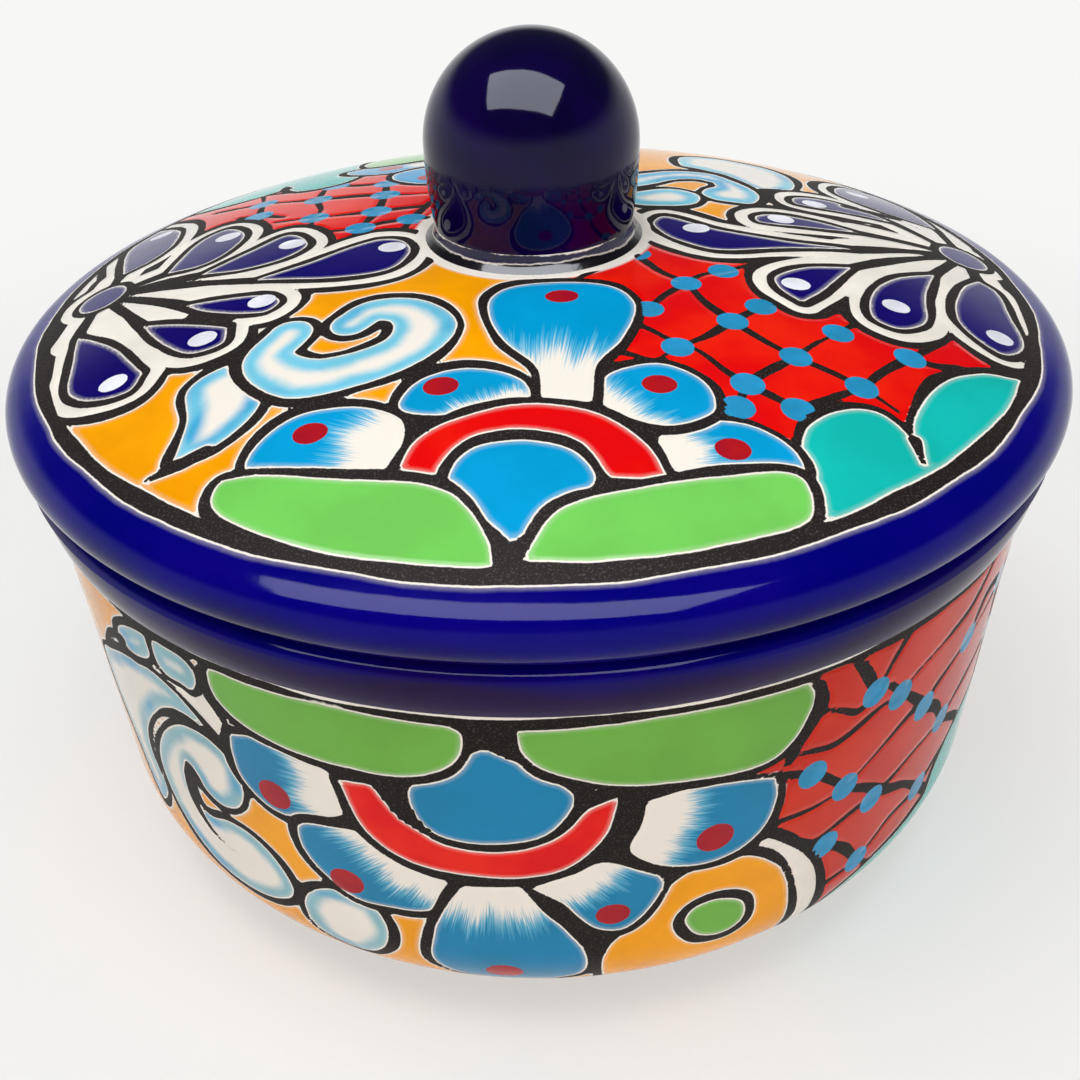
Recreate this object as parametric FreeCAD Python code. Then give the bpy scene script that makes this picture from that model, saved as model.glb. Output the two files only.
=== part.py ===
import FreeCAD, Part
import math
import os

# Glazed earthenware tortilla warmer: a round bowl with a domed lid and a ball knob
# Millimetres, +Z up, origin on the table at the centre of the foot ring
# Every piece is turned about the Z axis, so each is one half section

# Bowl sizes
MOUTH_RADIUS = 107.5        # inside of the mouth, where the lid's flange drops in
BOWL_HEIGHT = 111.2         # table to the flat top of the rim
WALL = 7.5                  # thickness of the side wall
BELLY_DRAW = 3.4            # how far the side leans in from the shoulder down to the belly
BELLY_TURN = 28.0           # radius of the turn from the side to the underside
HOLLOW_TURN = 24.0          # radius of the same turn inside the bowl
FLOOR = 8.0                 # thickness of the floor
FOOT_HEIGHT = 4.0           # height of the underside above the table
FOOT_INSET = 29.0           # outside of the belly in to the outside of the foot ring
FOOT_WIDTH = 7.0            # width of the ring that stands on the table
FOOT_FLARE = 2.5            # how much the foot ring widens, each side, up to the floor's middle
BAND_HEIGHT = 12.5          # height of the thickened band round the rim
BAND_SWELL = 3.6            # how far the band stands out from the shoulder
BAND_ROUND = 1.2            # rounding where the side runs into the band
RIM_ROUND = 3.0             # rounding of the rim's outer edge
MOUTH_ROUND = 2.0           # rounding of the rim's inner edge

# Lid sizes
SEAT_GAP = 0.3              # between the rim's flat top and the lid's flat seat
LID_OVERHANG = 1.7          # how far the lid's edge stands out past the band
EDGE_ROLL = 6.6             # radius of the lid's rolled edge
LID_RISE = 30.7             # seat up to the flat land in the middle of the dome
PLATE = 7.0                 # thickness of the dome
FLANGE_CLEARANCE = 2.0      # flange to the inside of the mouth
FLANGE_WIDTH = 7.0          # thickness of the flange that drops into the mouth
FLANGE_DEPTH = 9.0          # seat down to the flange's lower edge
FLANGE_ROUND = 2.2          # rounding of the flange's lower edges
VENT_RADIUS = 3.0           # hole under the knob that lets air out in the kiln

# Knob sizes
KNOB_RADIUS = 23.7          # at its widest
KNOB_HEIGHT = 44.5          # above the lid
KNOB_DRAW = 1.8             # how far the knob draws in from its widest down to its base
KNOB_WALL = 5.0             # the knob is hollow
COLLAR_WIDTH = 2.7          # slip smoothed round the knob's base, along the lid
COLLAR_HEIGHT = 4.2         # and up the knob
LAND_MARGIN = 1.5           # flat land left outside the slip

# Radii that follow from those sizes
SHOULDER_RADIUS = MOUTH_RADIUS + WALL
BELLY_RADIUS = SHOULDER_RADIUS - BELLY_DRAW
RIM_RADIUS = SHOULDER_RADIUS + BAND_SWELL
FOOT_RADIUS = BELLY_RADIUS - FOOT_INSET
LID_RADIUS = RIM_RADIUS + LID_OVERHANG
FLANGE_RADIUS = MOUTH_RADIUS - FLANGE_CLEARANCE
FLANGE_BORE = FLANGE_RADIUS - FLANGE_WIDTH
KNOB_BASE_RADIUS = KNOB_RADIUS - KNOB_DRAW
LAND_RADIUS = KNOB_BASE_RADIUS + COLLAR_WIDTH + LAND_MARGIN

# Heights that follow from those sizes
INNER_FLOOR = FOOT_HEIGHT + FLOOR
BAND_FOOT = BOWL_HEIGHT - BAND_HEIGHT
SEAT_HEIGHT = BOWL_HEIGHT + SEAT_GAP
LAND_HEIGHT = SEAT_HEIGHT + LID_RISE
KNOB_CENTRE = LAND_HEIGHT + KNOB_HEIGHT - KNOB_RADIUS

AXIS = FreeCAD.Vector(0, 0, 1)


def at(radius, height):
    """A point of a half section, by its distance from the axis and its height."""
    return FreeCAD.Vector(radius, 0, height)


def round_point(centre, radius, angle):
    """The point of a circle in the half section at an angle in degrees, 0 pointing outwards."""
    turn = math.radians(angle)
    return centre + at(radius * math.cos(turn), radius * math.sin(turn))


def line(start, end):
    """A straight edge."""
    return Part.makeLine(start, end)


def arc(centre, radius, start_angle, end_angle):
    """A round edge about a centre, between two angles in degrees."""
    middle_angle = 0.5 * (start_angle + end_angle)
    points = [round_point(centre, radius, angle) for angle in (start_angle, middle_angle, end_angle)]
    return Part.Arc(*points).toShape()


def tangent_angle(centre, radius, point):
    """Angle on a circle, below a point outside it, where a line to that point just touches."""
    reach = point - centre
    return math.degrees(math.atan2(reach.z, reach.x) - math.acos(radius / reach.Length))


def turned(edges):
    """The solid that a closed half section sweeps in one full turn."""
    return Part.Face(Part.Wire(edges)).revolve(FreeCAD.Vector(0, 0, 0), AXIS, 360)


def bowl():
    """Bowl with a full belly, a leaning side, a thickened flat rim and a foot ring."""
    belly = at(BELLY_RADIUS - BELLY_TURN, FOOT_HEIGHT + BELLY_TURN)
    hollow = at(BELLY_RADIUS - WALL - HOLLOW_TURN, INNER_FLOOR + HOLLOW_TURN)
    shoulder = at(SHOULDER_RADIUS, BAND_FOOT)
    mouth = at(MOUTH_RADIUS, BOWL_HEIGHT - MOUTH_ROUND)
    belly_end = tangent_angle(belly, BELLY_TURN, shoulder)
    hollow_end = tangent_angle(hollow, HOLLOW_TURN, mouth)
    band_start = at(SHOULDER_RADIUS + BAND_ROUND, BAND_FOOT + BAND_ROUND)
    band_middle = at(RIM_RADIUS - BAND_ROUND, BAND_FOOT + 0.25 * BAND_HEIGHT)
    band_end = at(RIM_RADIUS, BOWL_HEIGHT - RIM_ROUND)
    profile = [
        line(at(0, FOOT_HEIGHT), round_point(belly, BELLY_TURN, -90)),
        arc(belly, BELLY_TURN, -90, belly_end),
        line(round_point(belly, BELLY_TURN, belly_end), shoulder),
        arc(at(SHOULDER_RADIUS + BAND_ROUND, BAND_FOOT), BAND_ROUND, 180, 90),
        Part.Arc(band_start, band_middle, band_end).toShape(),
        arc(at(RIM_RADIUS - RIM_ROUND, BOWL_HEIGHT - RIM_ROUND), RIM_ROUND, 0, 90),
        line(at(RIM_RADIUS - RIM_ROUND, BOWL_HEIGHT), at(MOUTH_RADIUS + MOUTH_ROUND, BOWL_HEIGHT)),
        arc(mouth + at(MOUTH_ROUND, 0), MOUTH_ROUND, 90, 180),
        line(mouth, round_point(hollow, HOLLOW_TURN, hollow_end)),
        arc(hollow, HOLLOW_TURN, hollow_end, -90),
        line(round_point(hollow, HOLLOW_TURN, -90), at(0, INNER_FLOOR)),
        line(at(0, INNER_FLOOR), at(0, FOOT_HEIGHT)),
    ]
    return turned(profile).fuse(foot_ring()).removeSplitter()


def foot_ring():
    """Ring that the bowl stands on, a little wider where it runs into the floor."""
    bore = FOOT_RADIUS - FOOT_WIDTH
    root = FOOT_HEIGHT + 0.5 * FLOOR
    return turned([
        line(at(bore, 0), at(FOOT_RADIUS, 0)),
        line(at(FOOT_RADIUS, 0), at(FOOT_RADIUS + FOOT_FLARE, root)),
        line(at(FOOT_RADIUS + FOOT_FLARE, root), at(bore - FOOT_FLARE, root)),
        line(at(bore - FOOT_FLARE, root), at(bore, 0)),
    ])


def lid():
    """Domed lid with a rolled edge, a flat seat and a flange that drops into the mouth."""
    # The dome is one arc, level at the edge of the land and tangent to the rolled edge
    roll = at(LID_RADIUS - EDGE_ROLL, SEAT_HEIGHT + EDGE_ROLL)
    run = roll.x - LAND_RADIUS
    drop = LAND_HEIGHT - roll.z
    dome_radius = (run ** 2 + drop ** 2 - EDGE_ROLL ** 2) / (2 * (drop - EDGE_ROLL))
    dome = at(LAND_RADIUS, LAND_HEIGHT - dome_radius)
    roll_start = math.degrees(math.atan2(roll.z - dome.z, run))
    ceiling_radius = dome_radius - PLATE
    ceiling_end = math.degrees(math.acos((FLANGE_BORE - LAND_RADIUS) / ceiling_radius))
    flange_foot = SEAT_HEIGHT - FLANGE_DEPTH
    toe = flange_foot + FLANGE_ROUND
    underside = LAND_HEIGHT - PLATE
    return turned([
        line(at(VENT_RADIUS, underside), at(VENT_RADIUS, LAND_HEIGHT)),
        line(at(VENT_RADIUS, LAND_HEIGHT), at(LAND_RADIUS, LAND_HEIGHT)),
        arc(dome, dome_radius, 90, roll_start),
        arc(roll, EDGE_ROLL, roll_start, -90),
        line(at(roll.x, SEAT_HEIGHT), at(FLANGE_RADIUS, SEAT_HEIGHT)),
        line(at(FLANGE_RADIUS, SEAT_HEIGHT), at(FLANGE_RADIUS, toe)),
        arc(at(FLANGE_RADIUS - FLANGE_ROUND, toe), FLANGE_ROUND, 0, -90),
        line(at(FLANGE_RADIUS - FLANGE_ROUND, flange_foot), at(FLANGE_BORE + FLANGE_ROUND, flange_foot)),
        arc(at(FLANGE_BORE + FLANGE_ROUND, toe), FLANGE_ROUND, -90, -180),
        line(at(FLANGE_BORE, toe), round_point(dome, ceiling_radius, ceiling_end)),
        arc(dome, ceiling_radius, ceiling_end, 90),
        line(at(LAND_RADIUS, underside), at(VENT_RADIUS, underside)),
    ])


def knob_side():
    """Centre, radius and foot angle of the arc that the knob's side follows up to its widest."""
    rise = KNOB_CENTRE - LAND_HEIGHT
    radius = (rise ** 2 + KNOB_DRAW ** 2) / (2 * KNOB_DRAW)
    centre = at(KNOB_RADIUS - radius, KNOB_CENTRE)
    return centre, radius, -math.degrees(math.asin(rise / radius))


def knob():
    """Hollow ball knob, drawn in a little to the open base that stands on the lid."""
    ball = at(0, KNOB_CENTRE)
    side, side_radius, foot_angle = knob_side()
    inner_side_radius = side_radius - KNOB_WALL
    inner_foot_angle = -math.degrees(math.asin((KNOB_CENTRE - LAND_HEIGHT) / inner_side_radius))
    inner_foot = round_point(side, inner_side_radius, inner_foot_angle)
    return turned([
        line(inner_foot, at(KNOB_BASE_RADIUS, LAND_HEIGHT)),
        arc(side, side_radius, foot_angle, 0),
        arc(ball, KNOB_RADIUS, 0, 90),
        line(round_point(ball, KNOB_RADIUS, 90), round_point(ball, KNOB_RADIUS - KNOB_WALL, 90)),
        arc(ball, KNOB_RADIUS - KNOB_WALL, 90, 0),
        arc(side, inner_side_radius, 0, inner_foot_angle),
    ])


def knob_slip_collar():
    """Ring of slip smoothed into the corner between the knob and the lid."""
    side, side_radius, foot_angle = knob_side()
    top_angle = -math.degrees(math.asin((KNOB_CENTRE - LAND_HEIGHT - COLLAR_HEIGHT) / side_radius))
    top = round_point(side, side_radius, top_angle)
    foot = at(KNOB_BASE_RADIUS + COLLAR_WIDTH, LAND_HEIGHT)
    hollow = at(KNOB_BASE_RADIUS + 0.4 * COLLAR_WIDTH, LAND_HEIGHT + 0.35 * COLLAR_HEIGHT)
    return turned([
        line(at(KNOB_BASE_RADIUS, LAND_HEIGHT), foot),
        Part.Arc(foot, hollow, top).toShape(),
        arc(side, side_radius, top_angle, foot_angle),
    ])


PIECES = {
    "bowl": bowl,
    "lid": lid,
    "knob": knob,
    "knob_slip_collar": knob_slip_collar,
}

os.makedirs("parts", exist_ok=True)
for name, make_piece in PIECES.items():
    piece = make_piece()
    print(name, "valid", piece.isValid(), "solids", len(piece.Solids), "volume", round(piece.Volume))
    piece.exportStep("parts/" + name + ".step")
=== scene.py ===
"""A tortilla warmer of painted earthenware: bowl, lid, hollow knob and slip collar.

Each piece is a turned shell in metres. Its painting is worked out in millimetres as distances
to drawn shapes, kept on the mesh, and turned into glaze, slip line and bare clay by the shaders.
"""

import logging
import math
from abc import ABC, abstractmethod
from collections.abc import Iterable, Sequence
from dataclasses import dataclass, field, replace
from enum import Enum

import bmesh
import bpy
import numpy as np
from mathutils import Matrix, Vector


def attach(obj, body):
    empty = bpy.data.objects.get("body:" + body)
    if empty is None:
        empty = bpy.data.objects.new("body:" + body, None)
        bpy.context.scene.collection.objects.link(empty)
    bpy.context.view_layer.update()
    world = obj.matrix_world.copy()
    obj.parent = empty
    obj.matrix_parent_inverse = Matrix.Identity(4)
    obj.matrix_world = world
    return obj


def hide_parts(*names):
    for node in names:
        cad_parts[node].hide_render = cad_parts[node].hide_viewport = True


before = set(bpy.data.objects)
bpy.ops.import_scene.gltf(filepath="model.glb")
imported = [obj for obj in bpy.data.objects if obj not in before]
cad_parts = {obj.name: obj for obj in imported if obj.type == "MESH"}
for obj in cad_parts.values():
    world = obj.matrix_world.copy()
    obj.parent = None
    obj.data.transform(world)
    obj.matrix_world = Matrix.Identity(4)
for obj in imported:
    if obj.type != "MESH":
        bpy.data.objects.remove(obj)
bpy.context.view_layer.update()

Point = tuple[float, float]
Colour = tuple[float, float, float, float]
Mark = tuple[tuple[Point, ...], tuple[float, ...]]

MM = 0.001
TINY = 1e-6
WEDGES = 8
# The bowl's side is drawn flat: this far round for each degree, and this far down from its band.
SIDE_MM_PER_DEGREE = 1.99
BAND_FOOT = 98.7
# Distances on the painting, in millimetres: "nowhere near", and "not in a white heart".
FAR = 30.0
UNCORED = -5.0
# How far past a shape its distances are worked out, for lines, plain slip and inlays.
LINE_REACH = 8.0
SLIP_REACH = 6.0
INLAY_REACH = 4.0
# The white hair between a glaze and its line, and what a dot keeps clear of a line.
HAIR = 0.35
DOT_CLEAR = 0.6
DOT_HALO = 2.0

log = logging.getLogger("tortilla_warmer")


def linear(red: int, green: int, blue: int) -> Colour:
    """Turns a display colour into the linear one that a shader takes.

    Args:
        red: 0 to 255.
        green: 0 to 255.
        blue: 0 to 255.

    Returns:
        The linear colour with an alpha of 1.
    """
    parts = [value / 255.0 for value in (red, green, blue)]
    parts = [p / 12.92 if p <= 0.04045 else ((p + 0.055) / 1.055) ** 2.4 for p in parts]
    return (parts[0], parts[1], parts[2], 1.0)


class Glaze(Enum):
    """The glazes in the painter's pots, as display colours, and two cobalts with painted shade in them."""

    WHITE = (243, 238, 229)
    ORANGE = (248, 163, 2)
    RED = (232, 20, 8)
    GREEN = (116, 206, 92)
    BLUE = (4, 156, 214)
    SKY = (118, 202, 228)
    TEAL = (18, 188, 180)
    COBALT = (4, 0, 118)
    # Cobalt as it looks in shade, painted in under the lid's roll and on the bowl's band under the lid.
    SHADED_ROLL_COBALT = (10, 0, 56)
    SHADED_BAND_COBALT = (30, 8, 62)
    FAN_COBALT = (16, 2, 104)
    PALE = (142, 190, 202)
    BOWL_BLUE = (22, 130, 178)
    BOWL_GREEN = (112, 178, 72)
    NET_RED = (208, 40, 6)
    DOT_BLUE = (40, 146, 196)
    DOT_RED = (172, 22, 34)
    DOT_WHITE = (236, 238, 248)
    CLAY = (205, 164, 124)

    @property
    def colour(self) -> Colour:
        """The linear colour."""
        return linear(*self.value)


class Zone(Enum):
    """What covers a ring of a turned shell."""

    PATTERN = 0
    COBALT = 1
    LINER = 2
    CLAY = 3


@dataclass(frozen=True)
class Ring:
    """One ring of a turned shell: radius, height and distance walked, in millimetres."""

    radius: float
    height: float
    walked: float
    zone: Zone


@dataclass
class Profile:
    """A half section, walked from its first point in lines and arcs."""

    rings: list[Ring] = field(default_factory=list)

    def start(self, radius: float, height: float, zone: Zone) -> None:
        """Sets the first ring."""
        self.rings.append(Ring(radius, height, 0.0, zone))

    def _add(self, radius: float, height: float, zone: Zone) -> None:
        """Adds a ring after the last one."""
        last = self.rings[-1]
        step = math.hypot(radius - last.radius, height - last.height)
        self.rings.append(Ring(radius, height, last.walked + step, zone))

    def line(self, radius: float, height: float, gap: float, zone: Zone) -> None:
        """Walks straight to a point.

        Args:
            radius: where the line ends.
            height: where the line ends.
            gap: the distance between rings.
            zone: what covers them.
        """
        last = self.rings[-1]
        length = math.hypot(radius - last.radius, height - last.height)
        count = max(1, round(length / gap))
        for step in range(1, count + 1):
            t = step / count
            here = last.radius + t * (radius - last.radius)
            self._add(here, last.height + t * (height - last.height), zone)

    def arc(self, centre: Point, size: float, first: float, last: float, gap: float, zone: Zone) -> None:
        """Walks round an arc that starts where the profile is.

        Args:
            centre: the arc's centre.
            size: its radius.
            first: the angle it starts at, in degrees.
            last: the angle it ends at, in degrees.
            gap: the distance between rings.
            zone: what covers them.
        """
        count = max(2, round(abs(math.radians(last - first)) * size / gap))
        for step in range(1, count + 1):
            angle = math.radians(first + (last - first) * step / count)
            self._add(centre[0] + size * math.cos(angle), centre[1] + size * math.sin(angle), zone)


class Shape(ABC):
    """A drawn shape that knows how far any place is from its edge."""

    @abstractmethod
    def reach(self) -> tuple[np.ndarray, np.ndarray]:
        """The shape's lowest and highest corner."""

    @abstractmethod
    def distance(self, place: np.ndarray) -> np.ndarray:
        """Measures how far places are from the edge.

        Args:
            place: the places, in millimetres.

        Returns:
            Their distances, below zero inside.
        """


def smooth_path(points: Sequence[Point], corners: Iterable[int], closed: bool, steps: int = 7) -> np.ndarray:
    """Draws a smooth curve through points.

    Args:
        points: the points the brush goes through.
        corners: the numbers of the points where it turns sharply.
        closed: whether it comes back to its start.
        steps: how many short runs each span gets.

    Returns:
        The places along the curve.
    """
    spots = np.array(points, dtype=float)
    count = len(spots)
    sharp = set(corners)
    spans = count if closed else count - 1
    out = []
    for k in range(spans):
        b, c = spots[k], spots[(k + 1) % count]
        a = spots[(k - 1) % count] if closed or k > 0 else b
        d = spots[(k + 2) % count] if closed or k + 2 < count else c
        length = np.linalg.norm(c - b)
        into = away = c - b
        if k not in sharp:
            into = (c - a) * (length / max(TINY, np.linalg.norm(b - a) + length))
        if (k + 1) % count not in sharp:
            away = (d - b) * (length / max(TINY, np.linalg.norm(d - c) + length))
        for step in range(steps):
            t = step / steps
            out.append(
                (2 * t**3 - 3 * t**2 + 1) * b + (t**3 - 2 * t**2 + t) * into
                + (3 * t**2 - 2 * t**3) * c + (t**3 - t**2) * away
            )
    if not closed:
        out.append(spots[-1])
    return np.array(out)


@dataclass(frozen=True)
class Outline(Shape):
    """A closed brush outline through a few points."""

    points: tuple[Point, ...]
    corners: tuple[int, ...] = ()

    def path(self) -> np.ndarray:
        """The curve the brush follows."""
        return smooth_path(self.points, self.corners, True)

    def reach(self) -> tuple[np.ndarray, np.ndarray]:
        """The shape's lowest and highest corner."""
        path = self.path()
        return path.min(axis=0), path.max(axis=0)

    def distance(self, place: np.ndarray) -> np.ndarray:
        """Measures how far places are from the edge.

        Args:
            place: the places, in millimetres.

        Returns:
            Their distances, below zero inside.
        """
        path = self.path()
        nearest = np.full(len(place), 1e9)
        inside = np.zeros(len(place), dtype=bool)
        for a, b in zip(path, np.roll(path, -1, axis=0)):
            run = b - a
            t = np.clip(((place - a) @ run) / max(1e-9, run @ run), 0.0, 1.0)
            gap = place - a - t[:, None] * run
            nearest = np.minimum(nearest, np.einsum("ij,ij->i", gap, gap))
            crosses = (a[1] > place[:, 1]) != (b[1] > place[:, 1])
            if abs(run[1]) > 1e-12:
                inside ^= crosses & (place[:, 0] < a[0] + (place[:, 1] - a[1]) * run[0] / run[1])
        return np.where(inside, -1.0, 1.0) * np.sqrt(nearest)


@dataclass(frozen=True)
class Ribbon(Shape):
    """A brush stroke of changing width along a curve."""

    points: tuple[Point, ...]
    widths: tuple[float, ...]

    def reach(self) -> tuple[np.ndarray, np.ndarray]:
        """The shape's lowest and highest corner."""
        path = smooth_path(self.points, (), False)
        return path.min(axis=0) - max(self.widths), path.max(axis=0) + max(self.widths)

    def distance(self, place: np.ndarray) -> np.ndarray:
        """Measures how far places are from the edge.

        Args:
            place: the places, in millimetres.

        Returns:
            Their distances, below zero inside.
        """
        path = smooth_path(self.points, (), False)
        share = np.linspace(0.0, 1.0, len(path))
        halves = np.interp(share, np.linspace(0.0, 1.0, len(self.widths)), self.widths) / 2
        nearest = np.full(len(place), 1e9)
        for a, b, start, end in zip(path, path[1:], halves, halves[1:]):
            run = b - a
            t = np.clip(((place - a) @ run) / max(1e-9, run @ run), 0.0, 1.0)
            gap = np.linalg.norm(place - a - t[:, None] * run, axis=1)
            nearest = np.minimum(nearest, gap - start - t * (end - start))
        return nearest


@dataclass(frozen=True)
class Drop(Shape):
    """A drop that widens from a fine root to a round head."""

    root: Point
    head: Point
    fine: float
    full: float

    def reach(self) -> tuple[np.ndarray, np.ndarray]:
        """The shape's lowest and highest corner."""
        ends = np.array([self.root, self.head])
        return ends.min(axis=0) - self.full, ends.max(axis=0) + self.full

    def distance(self, place: np.ndarray) -> np.ndarray:
        """Measures how far places are from the edge.

        Args:
            place: the places, in millimetres.

        Returns:
            Their distances, below zero inside.
        """
        root = np.array(self.root)
        run = np.array(self.head) - root
        length = float(np.linalg.norm(run))
        along = run / length
        gap = place - root
        y = gap @ along
        x = np.abs(gap[:, 0] * along[1] - gap[:, 1] * along[0])
        slope = (self.fine - self.full) / length
        rise = math.sqrt(max(0.0, 1.0 - slope * slope))
        k = -slope * x + rise * y
        side = rise * x + slope * y - self.fine
        low = np.hypot(x, y) - self.fine
        high = np.hypot(x, y - length) - self.full
        return np.where(k < 0.0, low, np.where(k > rise * length, high, side))


@dataclass(frozen=True)
class Oval(Shape):
    """A nearly round spot."""

    centre: Point
    half: Point

    def reach(self) -> tuple[np.ndarray, np.ndarray]:
        """The shape's lowest and highest corner."""
        return np.array(self.centre) - self.half, np.array(self.centre) + self.half

    def distance(self, place: np.ndarray) -> np.ndarray:
        """Measures how far places are from the edge.

        Args:
            place: the places, in millimetres.

        Returns:
            Their distances, below zero inside.
        """
        gap = place - np.array(self.centre)
        scaled = gap / np.array(self.half)
        size = np.hypot(scaled[:, 0], scaled[:, 1])
        steep = np.hypot(scaled[:, 0] / self.half[0], scaled[:, 1] / self.half[1])
        return np.where(size < TINY, -min(self.half), size * (size - 1.0) / np.maximum(steep, TINY))


@dataclass(frozen=True)
class Together(Shape):
    """Several shapes drawn round with one outline, a set way outside them."""

    parts: tuple[Shape, ...]
    margin: float

    def reach(self) -> tuple[np.ndarray, np.ndarray]:
        """The shape's lowest and highest corner."""
        boxes = [part.reach() for part in self.parts]
        low = np.min([box[0] for box in boxes], axis=0)
        high = np.max([box[1] for box in boxes], axis=0)
        return low - self.margin, high + self.margin

    def distance(self, place: np.ndarray) -> np.ndarray:
        """Measures how far places are from the edge.

        Args:
            place: the places, in millimetres.

        Returns:
            Their distances, below zero inside.
        """
        return np.min([part.distance(place) for part in self.parts], axis=0) - self.margin


@dataclass(frozen=True)
class Petal:
    """A petal, blue at its tip and brushed out to white at its root."""

    outline: Outline
    root: Point
    reach: tuple[float, float]
    dot: Point
    dot_size: Point = (3.4, 2.7)


@dataclass(frozen=True)
class Stroke:
    """How a petal's brush marks run: from a root, over a span of distances."""

    root: Point
    reach: tuple[float, float]


class Canvas:
    """The painted skin of a turned shell, as values on its vertices.

    Attributes:
        flat: where each vertex lies on the flat drawing, in millimetres.
        place: the same, turned and shifted to the face being painted.
        glaze: its glaze colour, with the strength of the white hairline as alpha.
        line: distance to the nearest slip line's edge, below zero in the line.
        dot: distance to the nearest dot's edge, below zero in the dot.
        dot_glaze: the colour of that dot.
        core: how deep it lies in a scroll with a white heart.
        stroke: across and along a petal's brush marks, and 1 where it is in a petal.
        clay: 1 where the clay is bare.
    """

    def __init__(self, place: np.ndarray) -> None:
        """Starts a white canvas.

        Args:
            place: where each vertex lies on the flat drawing, in millimetres.
        """
        count = len(place)
        self.flat = place
        self.place = place
        self.glaze = np.tile(np.array(Glaze.WHITE.colour), (count, 1))
        self.glaze[:, 3] = 0.0
        self.line = np.full(count, FAR)
        self.dot = np.full(count, FAR)
        self.dot_glaze = np.tile(np.array(Glaze.DOT_BLUE.colour), (count, 1))
        self.core = np.full(count, UNCORED)
        self.stroke = np.zeros((count, 3))
        self.clay = np.zeros(count)

    def near(self, shape: Shape, margin: float) -> np.ndarray:
        """Finds the vertices in and near a shape.

        Args:
            shape: the shape.
            margin: how far outside it still counts.

        Returns:
            Their numbers.
        """
        low, high = shape.reach()
        inside = np.all((self.place > low - margin) & (self.place < high + margin), axis=1)
        return np.nonzero(inside)[0]

    def waver(self, which: np.ndarray) -> np.ndarray:
        """How a hand-drawn line's width wanders from place to place."""
        x, y = self.flat[which, 0], self.flat[which, 1]
        return 0.20 * np.sin(x / 5.1 + y / 8.3) + 0.16 * np.sin(x / 11.7 - y / 4.3 + 1.3)

    def cover(self, which: np.ndarray, glaze: Glaze, hairline: float) -> None:
        """Puts a plain glaze over some vertices.

        Args:
            which: their numbers.
            glaze: the glaze.
            hairline: how strong the white hairline at its edge is.
        """
        self.glaze[which] = glaze.colour
        self.glaze[which, 3] = hairline
        self.dot[which] = FAR
        self.core[which] = UNCORED
        self.stroke[which] = 0.0

    def paint(
        self,
        shape: Shape,
        glaze: Glaze,
        line: float = 2.1,
        grow: float | None = None,
        hairline: float = 1.0,
        cored: bool = False,
        stroke: Stroke | None = None,
    ) -> None:
        """Paints a shape over what is there, with its slip outline.

        Args:
            shape: the shape, as its glaze shows.
            glaze: the glaze inside.
            line: the outline's width, 0 for none.
            grow: how far outside the shape the outline's middle runs.
            hairline: how strong the white hairline at the glaze's edge is.
            cored: whether the middle is left white.
            stroke: how its brush marks run, for a petal.
        """
        grow = line / 2 + HAIR if grow is None else grow
        which = self.near(shape, line + LINE_REACH)
        if not len(which):
            return
        gap = shape.distance(self.place[which]) - grow
        inner = gap < 0.0
        inside, outside = which[inner], which[~inner]
        self.cover(inside, glaze, hairline)
        if line > 0.0:
            half = line / 2 + self.waver(which)
            self.line[inside] = (np.abs(gap) - half)[inner]
            self.line[outside] = np.minimum(self.line[outside], (gap - half)[~inner])
            self.dot[outside] = np.maximum(self.dot[outside], -(gap - half)[~inner] - DOT_CLEAR)
        if cored:
            self.core[inside] = -gap[inner]
        if stroke is not None:
            away = self.place[inside] - np.array(stroke.root)
            radius = np.hypot(away[:, 0], away[:, 1])
            mean = sum(stroke.reach) / 2
            self.stroke[inside, 0] = np.arctan2(away[:, 0], -away[:, 1]) * mean
            self.stroke[inside, 1] = (radius - stroke.reach[0]) / (stroke.reach[1] - stroke.reach[0])
            self.stroke[inside, 2] = 1.0

    def slip(self, shape: Shape, margin: float = 0.0) -> None:
        """Fills a shape with black slip.

        Args:
            shape: the shape.
            margin: how far outside it the slip runs.
        """
        which = self.near(shape, margin + SLIP_REACH)
        gap = shape.distance(self.place[which]) - margin - self.waver(which)
        self.line[which] = np.minimum(self.line[which], gap)

    def inlay(self, shape: Shape, glaze: Glaze) -> None:
        """Sets a glaze into black slip.

        Args:
            shape: the glaze's shape.
            glaze: the glaze.
        """
        which = self.near(shape, INLAY_REACH)
        gap = shape.distance(self.place[which])
        inside, around = which[gap < 0.0], which[(gap >= 0.0) & (self.line[which] < 0.0)]
        self.cover(inside, glaze, 1.0)
        self.line[inside] = -gap[gap < 0.0]
        self.line[around] = np.maximum(self.line[around], -shape.distance(self.place[around]))

    def draw(self, points: Sequence[Point], widths: Sequence[float]) -> None:
        """Draws a slip line of its own.

        Args:
            points: the points it goes through.
            widths: its width along the way.
        """
        stroke = Ribbon(tuple(points), tuple(widths))
        which = self.near(stroke, LINE_REACH)
        gap = stroke.distance(self.place[which]) - self.waver(which)
        self.line[which] = np.minimum(self.line[which], gap)

    def spot(self, centre: Point, half: Point, glaze: Glaze) -> None:
        """Puts a dot of glaze on top of everything.

        Args:
            centre: its middle.
            half: its half width and half height.
            glaze: its glaze.
        """
        dot = Oval(centre, half)
        which = self.near(dot, SLIP_REACH)
        gap = dot.distance(self.place[which])
        self.dot[which] = np.minimum(self.dot[which], gap)
        self.dot_glaze[which[gap < DOT_HALO]] = glaze.colour

    def draw_all(self, marks: Iterable[Mark]) -> None:
        """Draws several slip lines."""
        for points, widths in marks:
            self.draw(points, widths)

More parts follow.
